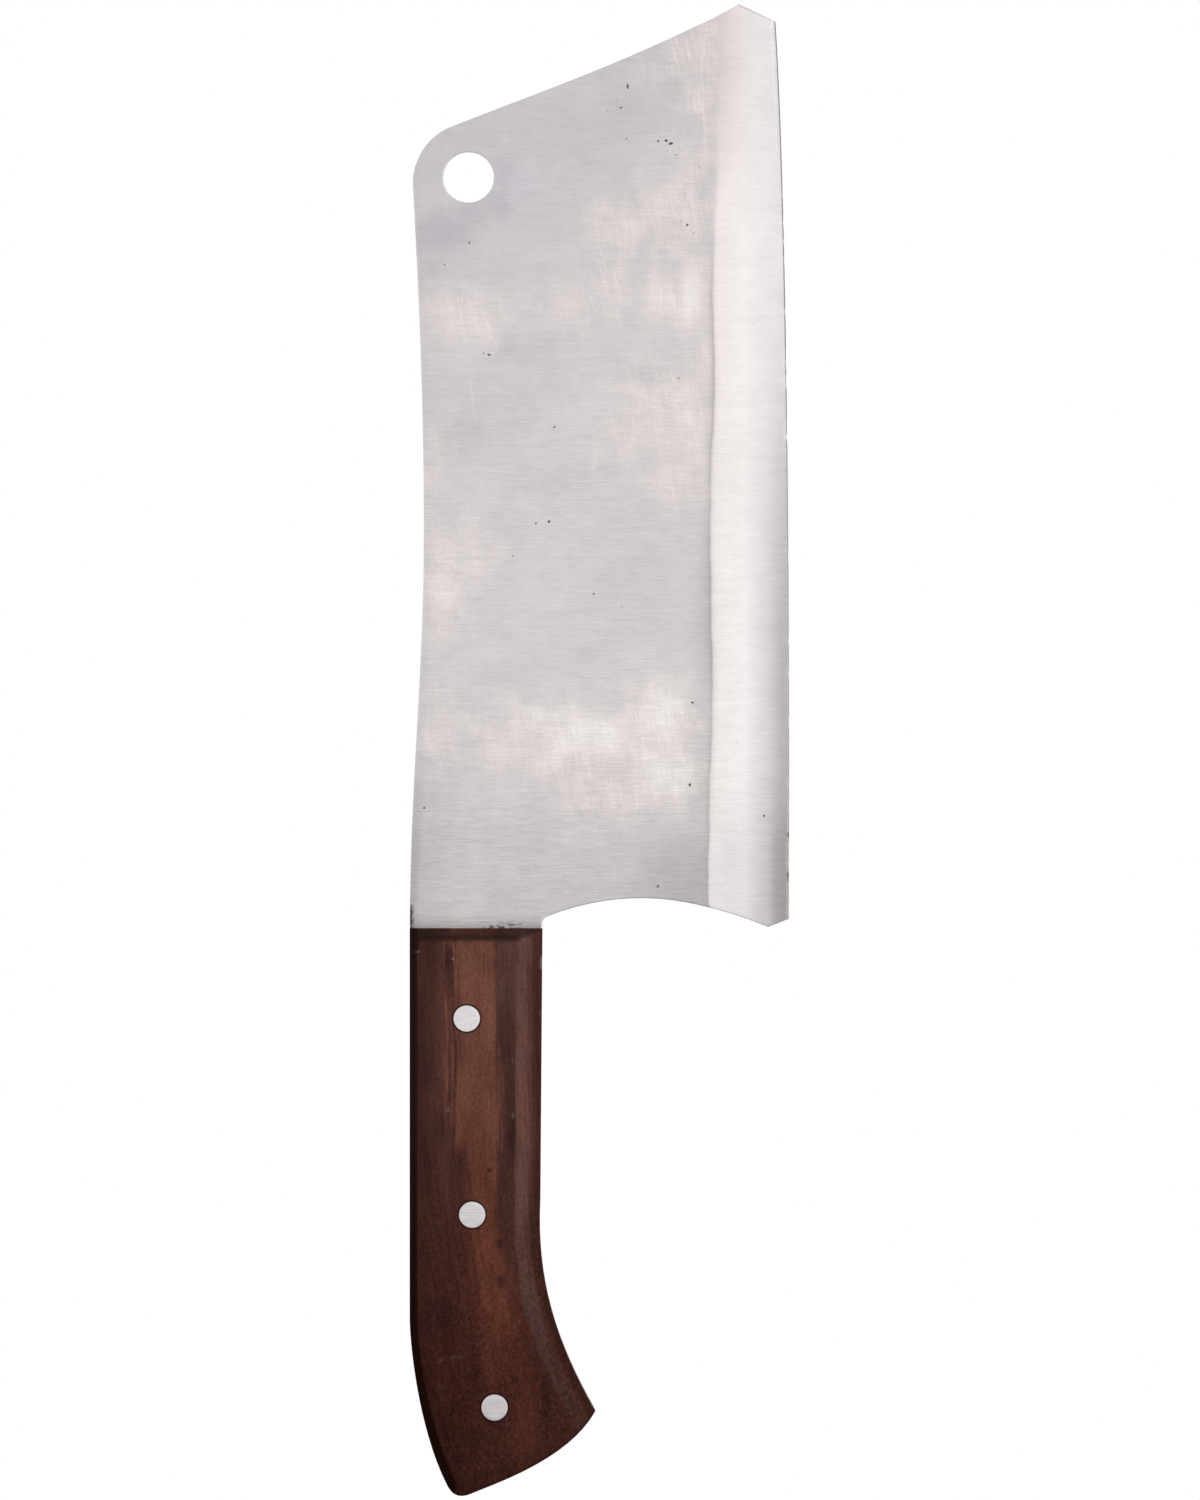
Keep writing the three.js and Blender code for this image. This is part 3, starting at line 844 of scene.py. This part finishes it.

# %% Painted shade round the hole, and darker places
# painted shade, bluish grey, round the hanging hole
SHADE_BY_HOLE = [
    ((9, 1), (8, 8), 0.7), ((7, -6), (8, 7), 0.85), ((0, -9), (9, 6), 0.75), ((-6, -13), (12, 11), 0.95),
    ((-9, -21), (8, 9), 0.55), ((12, -4), (12, 13), 0.3), ((10, -41), (7, 5), 0.5),
]
FAINT_SHADE_BY_HOLE = [((14, -2), (12, 11), 1.0)]
DARK_PLACES = [
    ((42, -47), (12, 5.5), 0.95), ((0, -61), (12, 10), 0.9), ((33, -98), (22, 12), 0.5), ((8, -118), (14, 6), 0.5),
    ((54, -109), (7, 9), 0.6),
]
DARKER_HEEL = [((53, -168), (26, 22), 1.0)]
for marks, start, end, strength, colour in (
    (SHADE_BY_HOLE, 0.08, 0.7, 0.85, (0.512, 0.487, 0.522)),
    (FAINT_SHADE_BY_HOLE, 0.1, 0.9, 0.65, (0.610, 0.580, 0.622)),
    (DARK_PLACES, 0.1, 0.8, 0.5, (0.54, 0.518, 0.525)),
    (DARKER_HEEL, 0.1, 0.9, 0.66, (0.455, 0.425, 0.425)),
):
    steel_colour = mix(span(spots(frayed, marks), start, end, 0, strength), steel_colour, colour)
count_nodes()

# %% [markdown]
# Fine scratches run at four slants, mostly through the rubbed patches. They are stretched noise of which only the
# crests are kept. The few long scratches are laid one by one, as very thin ellipses.

# %% Scratches
FINE_SCRATCHES = [(68, (40, 200, 2600)), (76, (44, 200, 2400)), (97, (36, 200, 2800)), (18, (40, 200, 3000))]
LONG_SCRATCHES = [
    ((55.6, 18.4), (0.3, 24), -2.5, 0.22), ((54, -29), (0.5, 7), -10, 0.3), ((32, -20), (0.3, 6), -17, 0.25),
    ((29.5, -30), (0.35, 7), -20, 0.25), ((35.5, -27), (0.3, 6), -14, 0.2), ((1, -52), (0.4, 9), -8, 0.15),
]
scratches = most(*[span(grain(on_face, lines, 1, turn), 0.66, 0.74) for turn, lines in FINE_SCRATCHES])
scratches = times(scratches, plus(rubbed, 0.12))
steel_colour = mix(times(scratches, 0.4), steel_colour, (0.88, 0.84, 0.82))
unsteady = shaken(on_face, (160, 160, 160), 0.8)
for centre, size, turn, strength in LONG_SCRATCHES:
    line = span(spot(unsteady, centre, size, turn), 0.05, 0.7, 0, strength)
    steel_colour = mix(line, steel_colour, (0.88, 0.85, 0.84))
count_nodes()

# %% [markdown]
# The bevel is paler than the flat, as honed steel is, and on top of that it carries a painted highlight over its
# inner half. At the tip it only grows out of the flat, and it stays bright to the edge, which is a thin dark line
# there.
# Towards the heel its line is crisp, with painted shade in the hollow beside it, and painted shade darkens it near
# the edge, where it curves away from the light. Four colour ramps across the bevel are blended along the blade.

# %% Stops of the ramps: share of the bevel's width, tone and warmth
AT_TIP = [
    (0, 0.65, 0.05), (0.07, 0.665, 0.055), (0.27, 0.735, 0.06), (0.45, 0.757, 0.03), (0.7, 0.74, 0), (0.93, 0.675, 0),
    (0.945, 0.60, 0), (0.963, 0.49, 0), (0.98, 0.36, 0), (0.989, 0.12, 0), (1, 0.07, 0),
]
ABOVE_MIDDLE = [
    (0, 0.66, 0.04), (0.035, 0.82, 0.04), (0.09, 0.87, 0.04), (0.24, 0.875, 0.03), (0.45, 0.87, 0.015),
    (0.63, 0.815, 0), (0.77, 0.775, 0), (0.9, 0.735, 0), (0.95, 0.63, 0), (0.965, 0.53, 0), (0.98, 0.38, 0),
    (0.989, 0.13, 0), (1, 0.08, 0),
]
BELOW_MIDDLE = [
    (0, 0.62, 0.02), (0.035, 0.80, 0.03), (0.09, 0.865, 0.02), (0.24, 0.88, 0.01), (0.43, 0.88, 0), (0.6, 0.75, 0),
    (0.73, 0.65, 0), (0.83, 0.53, 0), (0.91, 0.45, 0), (0.95, 0.41, 0), (0.965, 0.33, 0), (1, 0.21, 0),
]
AT_HEEL = [
    (0, 0.70, 0), (0.05, 0.80, 0), (0.26, 0.775, 0), (0.45, 0.765, 0), (0.61, 0.635, 0), (0.73, 0.55, 0),
    (0.83, 0.385, 0), (0.91, 0.335, 0), (0.95, 0.31, 0), (0.965, 0.28, 0.03), (1, 0.24, 0.05),
]


def tones(value, stops, rosy=0.5):
    node = add("ValToRGB", {0: value})
    while len(node.color_ramp.elements) < len(stops):
        node.color_ramp.elements.new(0.5)
    for element, (position, tone, warmth) in zip(node.color_ramp.elements, stops):
        element.position = position
        element.color = (tone, tone * (0.955 - rosy * warmth), tone * (0.95 - warmth), 1)
    return node.outputs[0]


# %% Tones of the bevel, with painted highlight and painted shade
across_bevel = noted("bevel")
# honed tone, painted highlight and painted shade across the bevel
bevel_tone_and_painted_light = tones(across_bevel, AT_TIP, rosy=0.85)
for stops, start, end in ((ABOVE_MIDDLE, 30, -16), (BELOW_MIDDLE, -12, -126), (AT_HEEL, -138, -166)):
    bevel_tone_and_painted_light = mix(span(up_blade, start, end), bevel_tone_and_painted_light, tones(across_bevel, stops))
line_width = plus(span(up_blade, -118, -80, 0.012, 0.034), span(up_blade, -24, 8, 0, 0.116))
steel_colour = mix(span(across_bevel, 0.0, line_width), steel_colour, bevel_tone_and_painted_light)
count_nodes()

# %% [markdown]
# The hollow beside the bevel, the lower spine and the softened rims carry painted shade, where the steel turns away
# from the light.
# Attributes of the mesh say where the hollow and the rims are. The tang between the scales was never polished and
# has turned brown.

# %% Shade beside the bevel and along the spine
wide_hollow = noted("hollow")
narrow_hollow = sums("POWER", wide_hollow, 4.0)
upper_part = times(span(up_blade, -8, -36), span(up_blade, -58, -84, 0.75, 0.3))
lower_part = times(span(up_blade, -62, -100, 0.0, 0.5), span(up_blade, -112, -126, 1.0, 0.42))
hollow = plus(times(narrow_hollow, upper_part), times(wide_hollow, lower_part))
# painted shade in the hollow beside the bevel
steel_colour = mix(hollow, steel_colour, (0.41, 0.375, 0.37))

SPINE_HALF, SPINE_BOW = 94, 3.2
from_middle = sums("DIVIDE", minus(up_blade, spine_hollow.y), SPINE_HALF)
from_spine = minus(plus(across_blade, times(from_middle, from_middle, SPINE_BOW)), spine_hollow.x)
# painted shade along the lower spine
spine_shade = plus(span(from_spine, 2.2, 0, 0, 0.35), span(from_spine, 14, 0, 0, 0.3))
spine_shade = times(spine_shade, span(up_blade, -130, -168, 0.2, 1.0))
steel_colour = mix(spine_shade, steel_colour, (0.36, 0.335, 0.34))
count_nodes()

# %% Painted shade on the rims, and the tang between the scales
PAINTED_RIM_SHADE = (0.33, 0.305, 0.305)
# painted shade on the softened rims
steel_colour = mix(times(noted("rim"), 0.6), steel_colour, PAINTED_RIM_SHADE)
off_tip = Vector((tip.y - edge_top.y, 0, edge_top.x - tip.x)).normalized()
past_tip = add("VectorMath", {0: on_blade, 1: off_tip}, operation="DOT_PRODUCT").outputs[1]
tip_line = (tip.x * off_tip.x + tip.y * off_tip.z) * MM
# painted shade along the rim of the tip
tip_rim_shade = span(past_tip, tip_line - 0.5 * MM, tip_line - 0.15 * MM, 0, 0.6)
steel_colour = mix(tip_rim_shade, steel_colour, PAINTED_RIM_SHADE)
on_tang = span(up_blade, -178.4, -179.4)
dull_tang = times(on_tang, span(blotches, 0.3, 0.7, 0.66, 0.9))
steel_colour = mix(dull_tang, steel_colour, (0.15, 0.122, 0.108))
count_nodes()

# %% [markdown]
# Pits are small and dark. Dark residue sits in the corner where the blade enters the handle, and the edge near the
# heel is stained brown. These marks aren't bare metal any more, so they are rougher and less metallic.

# %% Pits
PITS = [
    ((37.7, 21.5), (0.4, 1.0), 1), ((36.1, 16.5), (0.45, 0.5), 1), ((33, 15.8), (0.4, 0.25), 0.8),
    ((37.3, 9.1), (0.35, 0.3), 1), ((44.9, 8.6), (0.5, 0.4), 1), ((46.8, 8.7), (0.6, 0.5), 1),
    ((48, 8), (0.9, 0.6), 1), ((49.2, 5.3), (0.35, 0.4), 0.8), ((35, 18.6), (0.3, 0.6), 0.6),
    ((31.5, -4.6), (0.3, 0.25), 0.7),
    ((54.9, 2.4), (0.4, 0.4), 0.6), ((60.7, 1.9), (0.4, 0.4), 0.5), ((51.8, -11.3), (0.5, 0.5), 1),
    ((53.3, -13.2), (0.3, 0.3), 0.8), ((67.6, -34.9), (0.3, 0.3), 0.6), ((4.8, -42), (0.55, 0.35), 1),
    ((3.6, -41.7), (0.3, 0.3), 0.8), ((49.7, -47.6), (0.4, 0.3), 0.9), ((20.3, -59.2), (0.5, 0.4), 1),
    ((-5.7, -20.7), (0.5, 0.35), 1), ((0.2, -15.5), (0.4, 0.35), 1), ((16, -82), (0.45, 0.4), 1),
    ((19.1, -81.6), (0.5, 0.6), 1), ((10.5, -89.7), (0.35, 0.35), 0.8), ((29.6, -98.7), (0.35, 0.4), 0.9),
    ((36.3, -101.8), (0.25, 1.1), 0.7), ((53, -124.5), (0.6, 0.35), 0.9), ((52.4, -143.9), (0.5, 0.6), 1),
    ((-10.5, -149.4), (0.45, 0.4), 1), ((70, -151.3), (0.45, 0.5), 1), ((44.9, -168), (0.5, 0.5), 1),
    ((63.4, -133.8), (0.6, 0.4), 0.5), ((22.6, -124.3), (0.6, 0.3), 0.5), ((-4.5, -104), (0.3, 0.5), 0.5),
]
pits = span(spots(shaken(on_face, (1500, 900, 1500), 0.75), PITS), 0.3, 0.55)
steel_colour = mix(times(pits, 0.92), steel_colour, (0.05, 0.042, 0.04))
count_nodes()

# %% Residue by the handle and stains by the heel
by_handle = times(span(up_blade, -175.8, -177.9), span(up_blade, -178.9, -178.4))
right_of_middle = span(spot(on_blade, (9, -177.4), (8, 4)), 0.1, 0.7, -0.07, 0.07)
specks = plus(grain(on_blade, (900, 700, 1500), 4), right_of_middle)
specks = times(by_handle, span(specks, 0.53, 0.64, 0, 0.85))
in_corner = spots(shaken(on_blade, (800, 500, 650), 2.0), [((-14.4, -175.6), (1.9, 6.0), 1.0)])
patchy = span(grain(on_blade, (900, 700, 600), 3), 0.38, 0.58, 0.5, 1)
residue = most(specks, times(span(in_corner, 0.12, 0.5), patchy))
steel_colour = mix(times(residue, 0.93), steel_colour, (0.042, 0.032, 0.03))

near_edge, by_heel = span(across_bevel, 0.965, 0.98), span(up_blade, -125, -160)
stains = times(near_edge, span(grain(on_blade, (500, 300, 330), 4), 0.5, 0.66), by_heel)
steel_colour = mix(times(stains, 0.55), steel_colour, (0.24, 0.15, 0.10))
dull = most(pits, residue, stains, times(on_tang, 0.5))
count_nodes()

# %% [markdown]
# At last the brushing is laid over all of it, with a fine grit that is strongest where the steel is rubbed. The
# brushing grows stronger towards the handle and is fainter on the bevel.

# %% Put the steel together
brushing = plus(span(up_blade, -20, -90, 0.58, 0.78), span(up_blade, -110, -165, 0, 0.36))
brushing = times(brushing, span(across_bevel, 0, 0.1, 1, 0.62))
fine = plus(span(dashes, 0.28, 0.72, -0.052, 0.052), span(hairlines, 0.3, 0.7, -0.05, 0.05))
slow = plus(span(streaks, 0.3, 0.7, -0.014, 0.014), span(blotches, 0.3, 0.7, -0.02, 0.02))
gritty = times(span(fine_grit, 0.3, 0.7, -1, 1), plus(times(rubbed, 0.03), 0.022))
join(dimmed(steel_colour, plus(times(fine, brushing), slow, gritty, 1.0)), "Base Color")
join(span(dull, 0, 1, 1.0, 0.1), "Metallic")
worn = minus(span(dashes, 0.25, 0.75, 0.44, 0.36), times(rubbed, 0.05))
join(most(worn, times(dull, 0.75)), "Roughness")
furrows = minus(minus(plus(hairlines, dashes), times(pits, 3.0)), times(scratches, 0.5))
join(scored(furrows, 0.22, 0.03), "Normal")
join(add("Tangent", {}, direction_type="UV_MAP", uv_map="brushing").outputs[0], "Tangent")
fix("Anisotropic", 0.6)
fix("Anisotropic Rotation", 0.25)
cover([blade])
count_nodes()

# %% [markdown]
# The scales are a dark red-brown hardwood, oiled and handled for years. The grain runs the length of the handle and
# leans towards the beak in its lower half. Stripes, fibres and short open pores are the same noise stretched to three
# scales, and the coordinates sway a little, so that no line is straight. The wood is darker and redder towards the
# butt.

# %% Grain of the wood
LEAN_START, LEAN = -195, 0.92
finish = new_finish("oiled_handle_wood")
on_wood = object_place()
down_handle = in_mm(on_wood)[2]
below_grip = times(most(minus(LEAN_START, down_handle), 0.0), MM)
leaning = add("CombineXYZ", {0: times(below_grip, below_grip, LEAN)}).outputs[0]
bent = add("VectorMath", {0: on_wood, 1: leaning}, operation="SUBTRACT").outputs[0]
swayed = shaken(bent, (50, 60, 18), 4)
across_grain = in_mm(shaken(swayed, (400, 300, 70), 1.6))[0]
stripes = grain(swayed, (240, 180, 11), 5)
fibres = grain(swayed, (1500, 1000, 80), 4)
pores = span(grain(swayed, (2000, 1800, 210), 2), 0.63, 0.71)
blotch = grain(swayed, (190, 150, 60), 5)
mottle = grain(on_wood, (1500, 1100, 1150), 4)

wood_colour = mix(span(stripes, 0.3, 0.7), (0.054, 0.0222, 0.0187), (0.090, 0.0358, 0.0290))
to_butt = span(down_handle, -205, -285)
butt_tone = mix(span(across_grain, -12, 4), (0.043, 0.0125, 0.0097), (0.070, 0.0225, 0.0155))
wood_colour = mix(times(to_butt, 0.9), wood_colour, butt_tone)
count_nodes()

# %% [markdown]
# A light stripe runs down the middle. Its left side draws in by the middle rivet, and it turns from tan to orange on
# the way down. A darker, more purple stripe runs beside it on the right.

# %% Light and dark stripes
def between(value, start, end, softness):
    past_start = sums("DIVIDE", minus(value, start), softness)
    before_end = sums("DIVIDE", minus(end, value), softness)
    return times(span(past_start, -1, 1), span(before_end, -1, 1))


loose_grain = plus(across_grain, plus(span(fibres, 0.3, 0.7, -0.8, 0.8), span(stripes, 0.3, 0.7, -1.2, 1.2)))
light_start = plus(span(down_handle, -224, -238, 0, 2.6), span(down_handle, -243, -256, 0, -1.8), -4.3)
light_end = plus(span(down_handle, -230, -245, 0, -1.6), 6.5)
light_stripe = between(loose_grain, light_start, light_end, span(down_handle, -232, -250, 1.4, 3.6))
worn_through = span(blotch, 0.35, 0.6, span(down_handle, -235, -260, 0.85, 0.4), 1)
light_stripe = times(light_stripe, span(stripes, 0.25, 0.6, 0.8, 1), worn_through)
light_stripe = times(light_stripe, span(down_handle, -292, -262, 0.1, 1))
light_tone = mix(span(down_handle, -205, -258), (0.188, 0.0745, 0.0515), (0.142, 0.0455, 0.0275))
wood_colour = mix(light_stripe, wood_colour, light_tone)
purple_stripe = times(between(loose_grain, plus(light_end, 0.5), 11.6, 1), 0.8, span(down_handle, -262, -240, 0, 1))
purple_tone = mix(span(down_handle, -187, -208), (0.122, 0.0565, 0.0495), (0.069, 0.0305, 0.0260))
wood_colour = mix(purple_stripe, wood_colour, purple_tone)
count_nodes()

# %% [markdown]
# Dark flecks lie in the grain, each at its place. The planed belly has a painted sheen along its ridge, where it
# faces the light, and painted shade at its edge, where it rounds over. Fibres, mottling, open pores and specks of
# dust then go over all of it, and towards the butt some bare wood shows.

# %% Dark flecks
FLECKS = [
    ((-5.2, -188), (1.9, 11), 0.8), ((-9.3, -212), (3.2, 9), 0.5), ((-6.2, -225), (5, 10), 0.5),
    ((7.2, -252), (1.5, 2.2), 0.8), ((7.6, -261), (2.0, 3.0), 0.9), ((-7.6, -270), (5.5, 8), 0.8),
    ((18.6, -289), (1.7, 13), 1.0), ((16.2, -279), (1.7, 8), 0.8), ((5.2, -235), (0.7, 0.7), 1.1),
    ((10.2, -226), (1.7, 15), 0.7), ((3, -298), (6, 6), 0.4), ((-2.5, -304), (5, 4), 0.4),
    ((-9, -255), (2.2, 0.5), 0.9), ((12.5, -299), (3, 5), 0.35), ((0, -290), (4, 4), 0.35),
]
flecks = span(spots(shaken(on_wood, (330, 330, 110), 3), FLECKS), 0.08, 0.7, 0, 0.65)
wood_colour = mix(flecks, wood_colour, (0.030, 0.0125, 0.0115))
count_nodes()

# %% Planed belly: painted sheen and painted shade
from_belly = noted("from_belly")
frayed_belly = plus(from_belly, span(fibres, 0.25, 0.75, -0.5, 0.5))
# painted sheen along the ridge of the planed belly
belly_sheen = times(span(frayed_belly, 6.3, 5.5), span(frayed_belly, 1.5, 4.2))
belly_sheen_tone = mix(span(down_handle, -246, -272), (0.146, 0.070, 0.0575), (0.076, 0.0450, 0.0425))
belly_sheen_strength = times(span(blotch, 0.3, 0.7, 0.52, 0.75), span(down_handle, -290, -262, 0.75, 1))
belly_sheen_strength = plus(belly_sheen_strength, span(down_handle, -205, -186, 0, 0.25))
wood_colour = mix(times(belly_sheen, belly_sheen_strength), wood_colour, belly_sheen_tone)
# painted shade where the belly rounds over at its edge
belly_edge_shade = span(from_belly, 2.6, 0.6, 0, span(down_handle, -245, -275, 0.28, 0.8))
wood_colour = mix(belly_edge_shade, wood_colour, (0.036, 0.0150, 0.0105))
count_nodes()

# %% Fibres, pores and mottling
mottled = times(span(mottle, 0.27, 0.73, -1, 1), span(down_handle, -225, -280, 0.15, 0.31))
tone = plus(span(fibres, 0.25, 0.75, -0.10, 0.10), mottled, span(blotch, 0.25, 0.75, 0.83, 1.17))
wood_colour = dimmed(wood_colour, tone)
wood_colour = mix(times(pores, 0.35), wood_colour, (0.024, 0.0095, 0.008))
dust = span(grain(on_wood, (1500, 1300, 1100), 1), 0.74, 0.82)
wood_colour = mix(times(dust, 0.2), wood_colour, (0.19, 0.11, 0.088))
bare = times(span(grain(swayed, (1000, 900, 520), 4), 0.5, 0.72), to_butt)
wood_colour = mix(times(bare, 0.3), wood_colour, (0.115, 0.043, 0.025))
count_nodes()

# %% [markdown]
# Painted shade darkens the rounded back and the rim of the butt, where they turn away from the light. The slant at
# the front is darkened by grease and by painted shade, and grease has left a ring round each rivet. Knocks have left
# a pale chip on the belly next to the blade and a few short scratches. The scales carry how far each point is from
# its back, butt and belly, and the grime and painted shade follow them.

# %% Grime and painted shade on the wood
from_back, from_butt = noted("from_back"), noted("from_butt")
past_back = minus(from_back, span(down_handle, -270, -305, 0, 0.5))
# painted shade along the rounded back
back_edge_shade = times(span(past_back, 2.3, 1.5, 0, 0.96), span(from_back, 0.0, 0.3, 0.55, 1))
back_shade = span(from_back, 8.0, 2.0, 0, 0.25)
# painted shade at the rim of the butt
butt_shade = plus(span(from_butt, 6.0, 0.6, 0, 0.3), span(from_butt, 0.9, 0.1, 0, 0.35))
# painted shade on the slant at the front, together with grease
slant = times(noted("front_slant"), span(down_handle, -178.5, -180.8, 0.68, 0.97))
rivet_rings = [((place.x, place.y), (5, 5), 1.0) for place in RIVETS.values()]
ring = span(spots(on_wood, rivet_rings), 0.24, 0.345, 0, 0.6)
wood_colour = mix(butt_shade, wood_colour, (0.024, 0.0092, 0.0068))
wood_colour = mix(slant, wood_colour, (0.0265, 0.0140, 0.0118))
grime_and_shade_tone = mix(to_butt, (0.0205, 0.0085, 0.0068), (0.0130, 0.0042, 0.0030))
wood_colour = mix(most(back_edge_shade, back_shade, ring), wood_colour, grime_and_shade_tone)
count_nodes()

# %% Chips and scratches on the wood
CHIPS, CHIP_DEPTH = [((17.4, -186), (0.9, 2.6), 1.0), ((17.0, -198), (0.5, 2.0), 0.5)], (-8.5, 2.5)
SCRAPES = [
    ((-3.0, -279.3), (4.6, 0.9), 0.4), ((-6.6, -280), (1.6, 1.2), 0.45), ((-3.7, -185), (0.45, 0.45), 2.0),
    ((10.4, -209.3), (0.6, 0.8), 0.6), ((10.6, -222), (0.8, 1.2), 0.7), ((-4.6, -220.7), (1.2, 1.5), 0.6),
    ((12.2, -271), (0.5, 0.9), 0.6), ((-12, -183.4), (1.2, 0.5), 0.8),
]
chips = span(spots(shaken(on_wood, (700, 700, 400), 1.2), CHIPS, CHIP_DEPTH), 0.2, 0.6)
wood_colour = mix(times(chips, 0.6), wood_colour, (0.27, 0.21, 0.175))
scrapes = span(spots(shaken(on_wood, (900, 500, 900), 0.9), SCRAPES), 0.1, 0.9)
wood_colour = mix(times(scrapes, 0.5), wood_colour, (0.26, 0.185, 0.155))
count_nodes()

# %% Put the wood together
join(wood_colour, "Base Color")
join(span(fibres, 0.25, 0.75, 0.62, 0.46), "Roughness")
furrows = minus(minus(plus(fibres, mottle), times(pores, 0.8)), scrapes)
join(scored(furrows, 0.4, 0.06), "Normal")
fix("Specular IOR Level", 0.0)
cover([scale, back_scale])
count_nodes()

# %% [markdown]
# The rivets are soft, pale metal. The same belt that sanded the handle has scratched their heads, across the handle,
# and dirt sits in their rims. The one at the butt is a little duller.

# %% Rivet metal
finish = new_finish("flush_rivet_metal")
on_rivet = object_place()
up_rivet = in_mm(on_rivet)[2]
belt_marks = grain(on_rivet, (260, 300, 4200), 4)
deep_marks = span(grain(on_rivet, (150, 300, 2600), 2, 8), 0.62, 0.72)
spotty = grain(on_rivet, (900, 900, 900), 4)
low_tone = mix(span(up_rivet, -210, -235), (0.66, 0.628, 0.638), (0.575, 0.55, 0.558))
rivet_colour = mix(span(belt_marks, 0.3, 0.7), low_tone, (0.735, 0.70, 0.708))
rivet_colour = mix(span(spotty, 0.48, 0.66, 0, 0.5), rivet_colour, (0.575, 0.545, 0.552))
rivet_colour = mix(times(deep_marks, 0.2), rivet_colour, (0.43, 0.41, 0.41))
rivet_colour = mix(span(up_rivet, -210, -290, 0, 0.5), rivet_colour, (0.49, 0.465, 0.472))
head_rims = [((place.x, place.y), (HEAD_RADIUS, HEAD_RADIUS), 1.0) for place in RIVETS.values()]
dirty_rim = span(spots(on_rivet, head_rims), 0.09, 0.0)
join(mix(times(dirty_rim, 0.4), rivet_colour, (0.16, 0.14, 0.13)), "Base Color")
join(span(belt_marks, 0.3, 0.7, 0.44, 0.3), "Roughness")
join(scored(minus(belt_marks, deep_marks), 0.2, 0.03), "Normal")
fix("Metallic", 1.0)
cover(rivets.values())
count_nodes()

# %% [markdown]
# ## Floor, light and camera
# The cleaver hangs just above a plain pale floor that takes its shadow. Away from the object the floor glows in the
# white of the background, so that its rim doesn't show. The world is white for the camera and for reflections, and
# softer for the light that falls on the object. It has nodes as a finish has, so the same helpers serve.

# %% Lay the floor
FLOOR_MIDDLE, FLOOR_RADIUS = (0.03, 0, -0.36), 0.6
bpy.ops.object.select_all(action="DESELECT")
bpy.ops.mesh.primitive_circle_add(vertices=96, radius=FLOOR_RADIUS, fill_type="NGON", location=FLOOR_MIDDLE)
floor = bpy.context.object
floor.name = floor.data.name = "pale_floor"
bpy.ops.object.transform_apply(location=True)
finish = new_finish("pale_floor_finish")
fix("Base Color", (0.92, 0.92, 0.92, 1))
fix("Roughness", 0.9)
fix("Specular IOR Level", 0.0)
away = add("VectorMath", {0: object_place(), 1: FLOOR_MIDDLE}, operation="DISTANCE").outputs["Value"]
glow = add("Emission", {"Color": (1, 1, 1, 1), "Strength": 1.0}).outputs[0]
plain = finish.node_tree.nodes["Principled BSDF"].outputs[0]
join(add("MixShader", {0: span(away, 0.12, 0.5), 1: plain, 2: glow}).outputs[0], "Surface", "Material Output")
cover([floor])
count_nodes()

# %% Light the world
finish = bpy.data.worlds.new("white_surround")
finish.use_nodes = True
bpy.context.scene.world = finish
rays = add("LightPath", {}).outputs
shown = most(rays["Is Camera Ray"], rays["Is Glossy Ray"], rays["Is Transmission Ray"])
join(span(shown, 0, 1, 0.55, 1.0), "Strength", "Background")
finish.node_tree.nodes["Background"].inputs["Color"].default_value = (1, 1, 1, 1)
count_nodes()

# %% [markdown]
# Four large softboxes stand round the cleaver, as in a small studio. The strongest is at the front on the right,
# where the bevel faces it and shines. The two behind serve the views of the back.

# %% Set the lamps
MIDDLE = Vector((0.03, 0, -0.13))


def softbox(name, place, size, watts):
    light = bpy.data.lights.new(name, "AREA")
    light.shape = "RECTANGLE"
    light.size, light.size_y = size
    light.energy = watts
    lamp = bpy.data.objects.new(name, light)
    bpy.context.scene.collection.objects.link(lamp)
    lamp.location = place
    lamp.rotation_euler = (MIDDLE - Vector(place)).to_track_quat("-Z", "Y").to_euler()
    print(name, watts, "W")


softbox("key_right", (1.45, -1.1, 0.2), (1.6, 1.8), 13)
softbox("fill_left", (-1.4, -1.1, 0.0), (1.6, 1.8), 1.6)
softbox("back_right", (1.1, 1.4, 0.25), (2.0, 2.0), 2)
softbox("back_left", (-1.1, 1.3, 0.1), (2.0, 2.0), 2)

# %% [markdown]
# The photograph was taken square on and from far away, so the camera stands 5 m off with a long lens. The frame is
# 1200 x 1500 pixels and shows 355.5 mm of height.

# %% Place the camera
SEEN_HEIGHT, DISTANCE, SENSOR = 0.3555, 5.0, 36.0
FRAME_MIDDLE = (31.14 * MM, -135.68 * MM)
lens = bpy.data.cameras.new("square_on")
lens.sensor_width = SENSOR
lens.lens = SENSOR * DISTANCE / SEEN_HEIGHT
camera = bpy.data.objects.new("square_on", lens)
bpy.context.scene.collection.objects.link(camera)
camera.location = (FRAME_MIDDLE[0], -DISTANCE, FRAME_MIDDLE[1])
camera.rotation_euler = (math.pi / 2, 0, 0)
bpy.context.scene.camera = camera
print("lens, in mm:", round(lens.lens, 1))
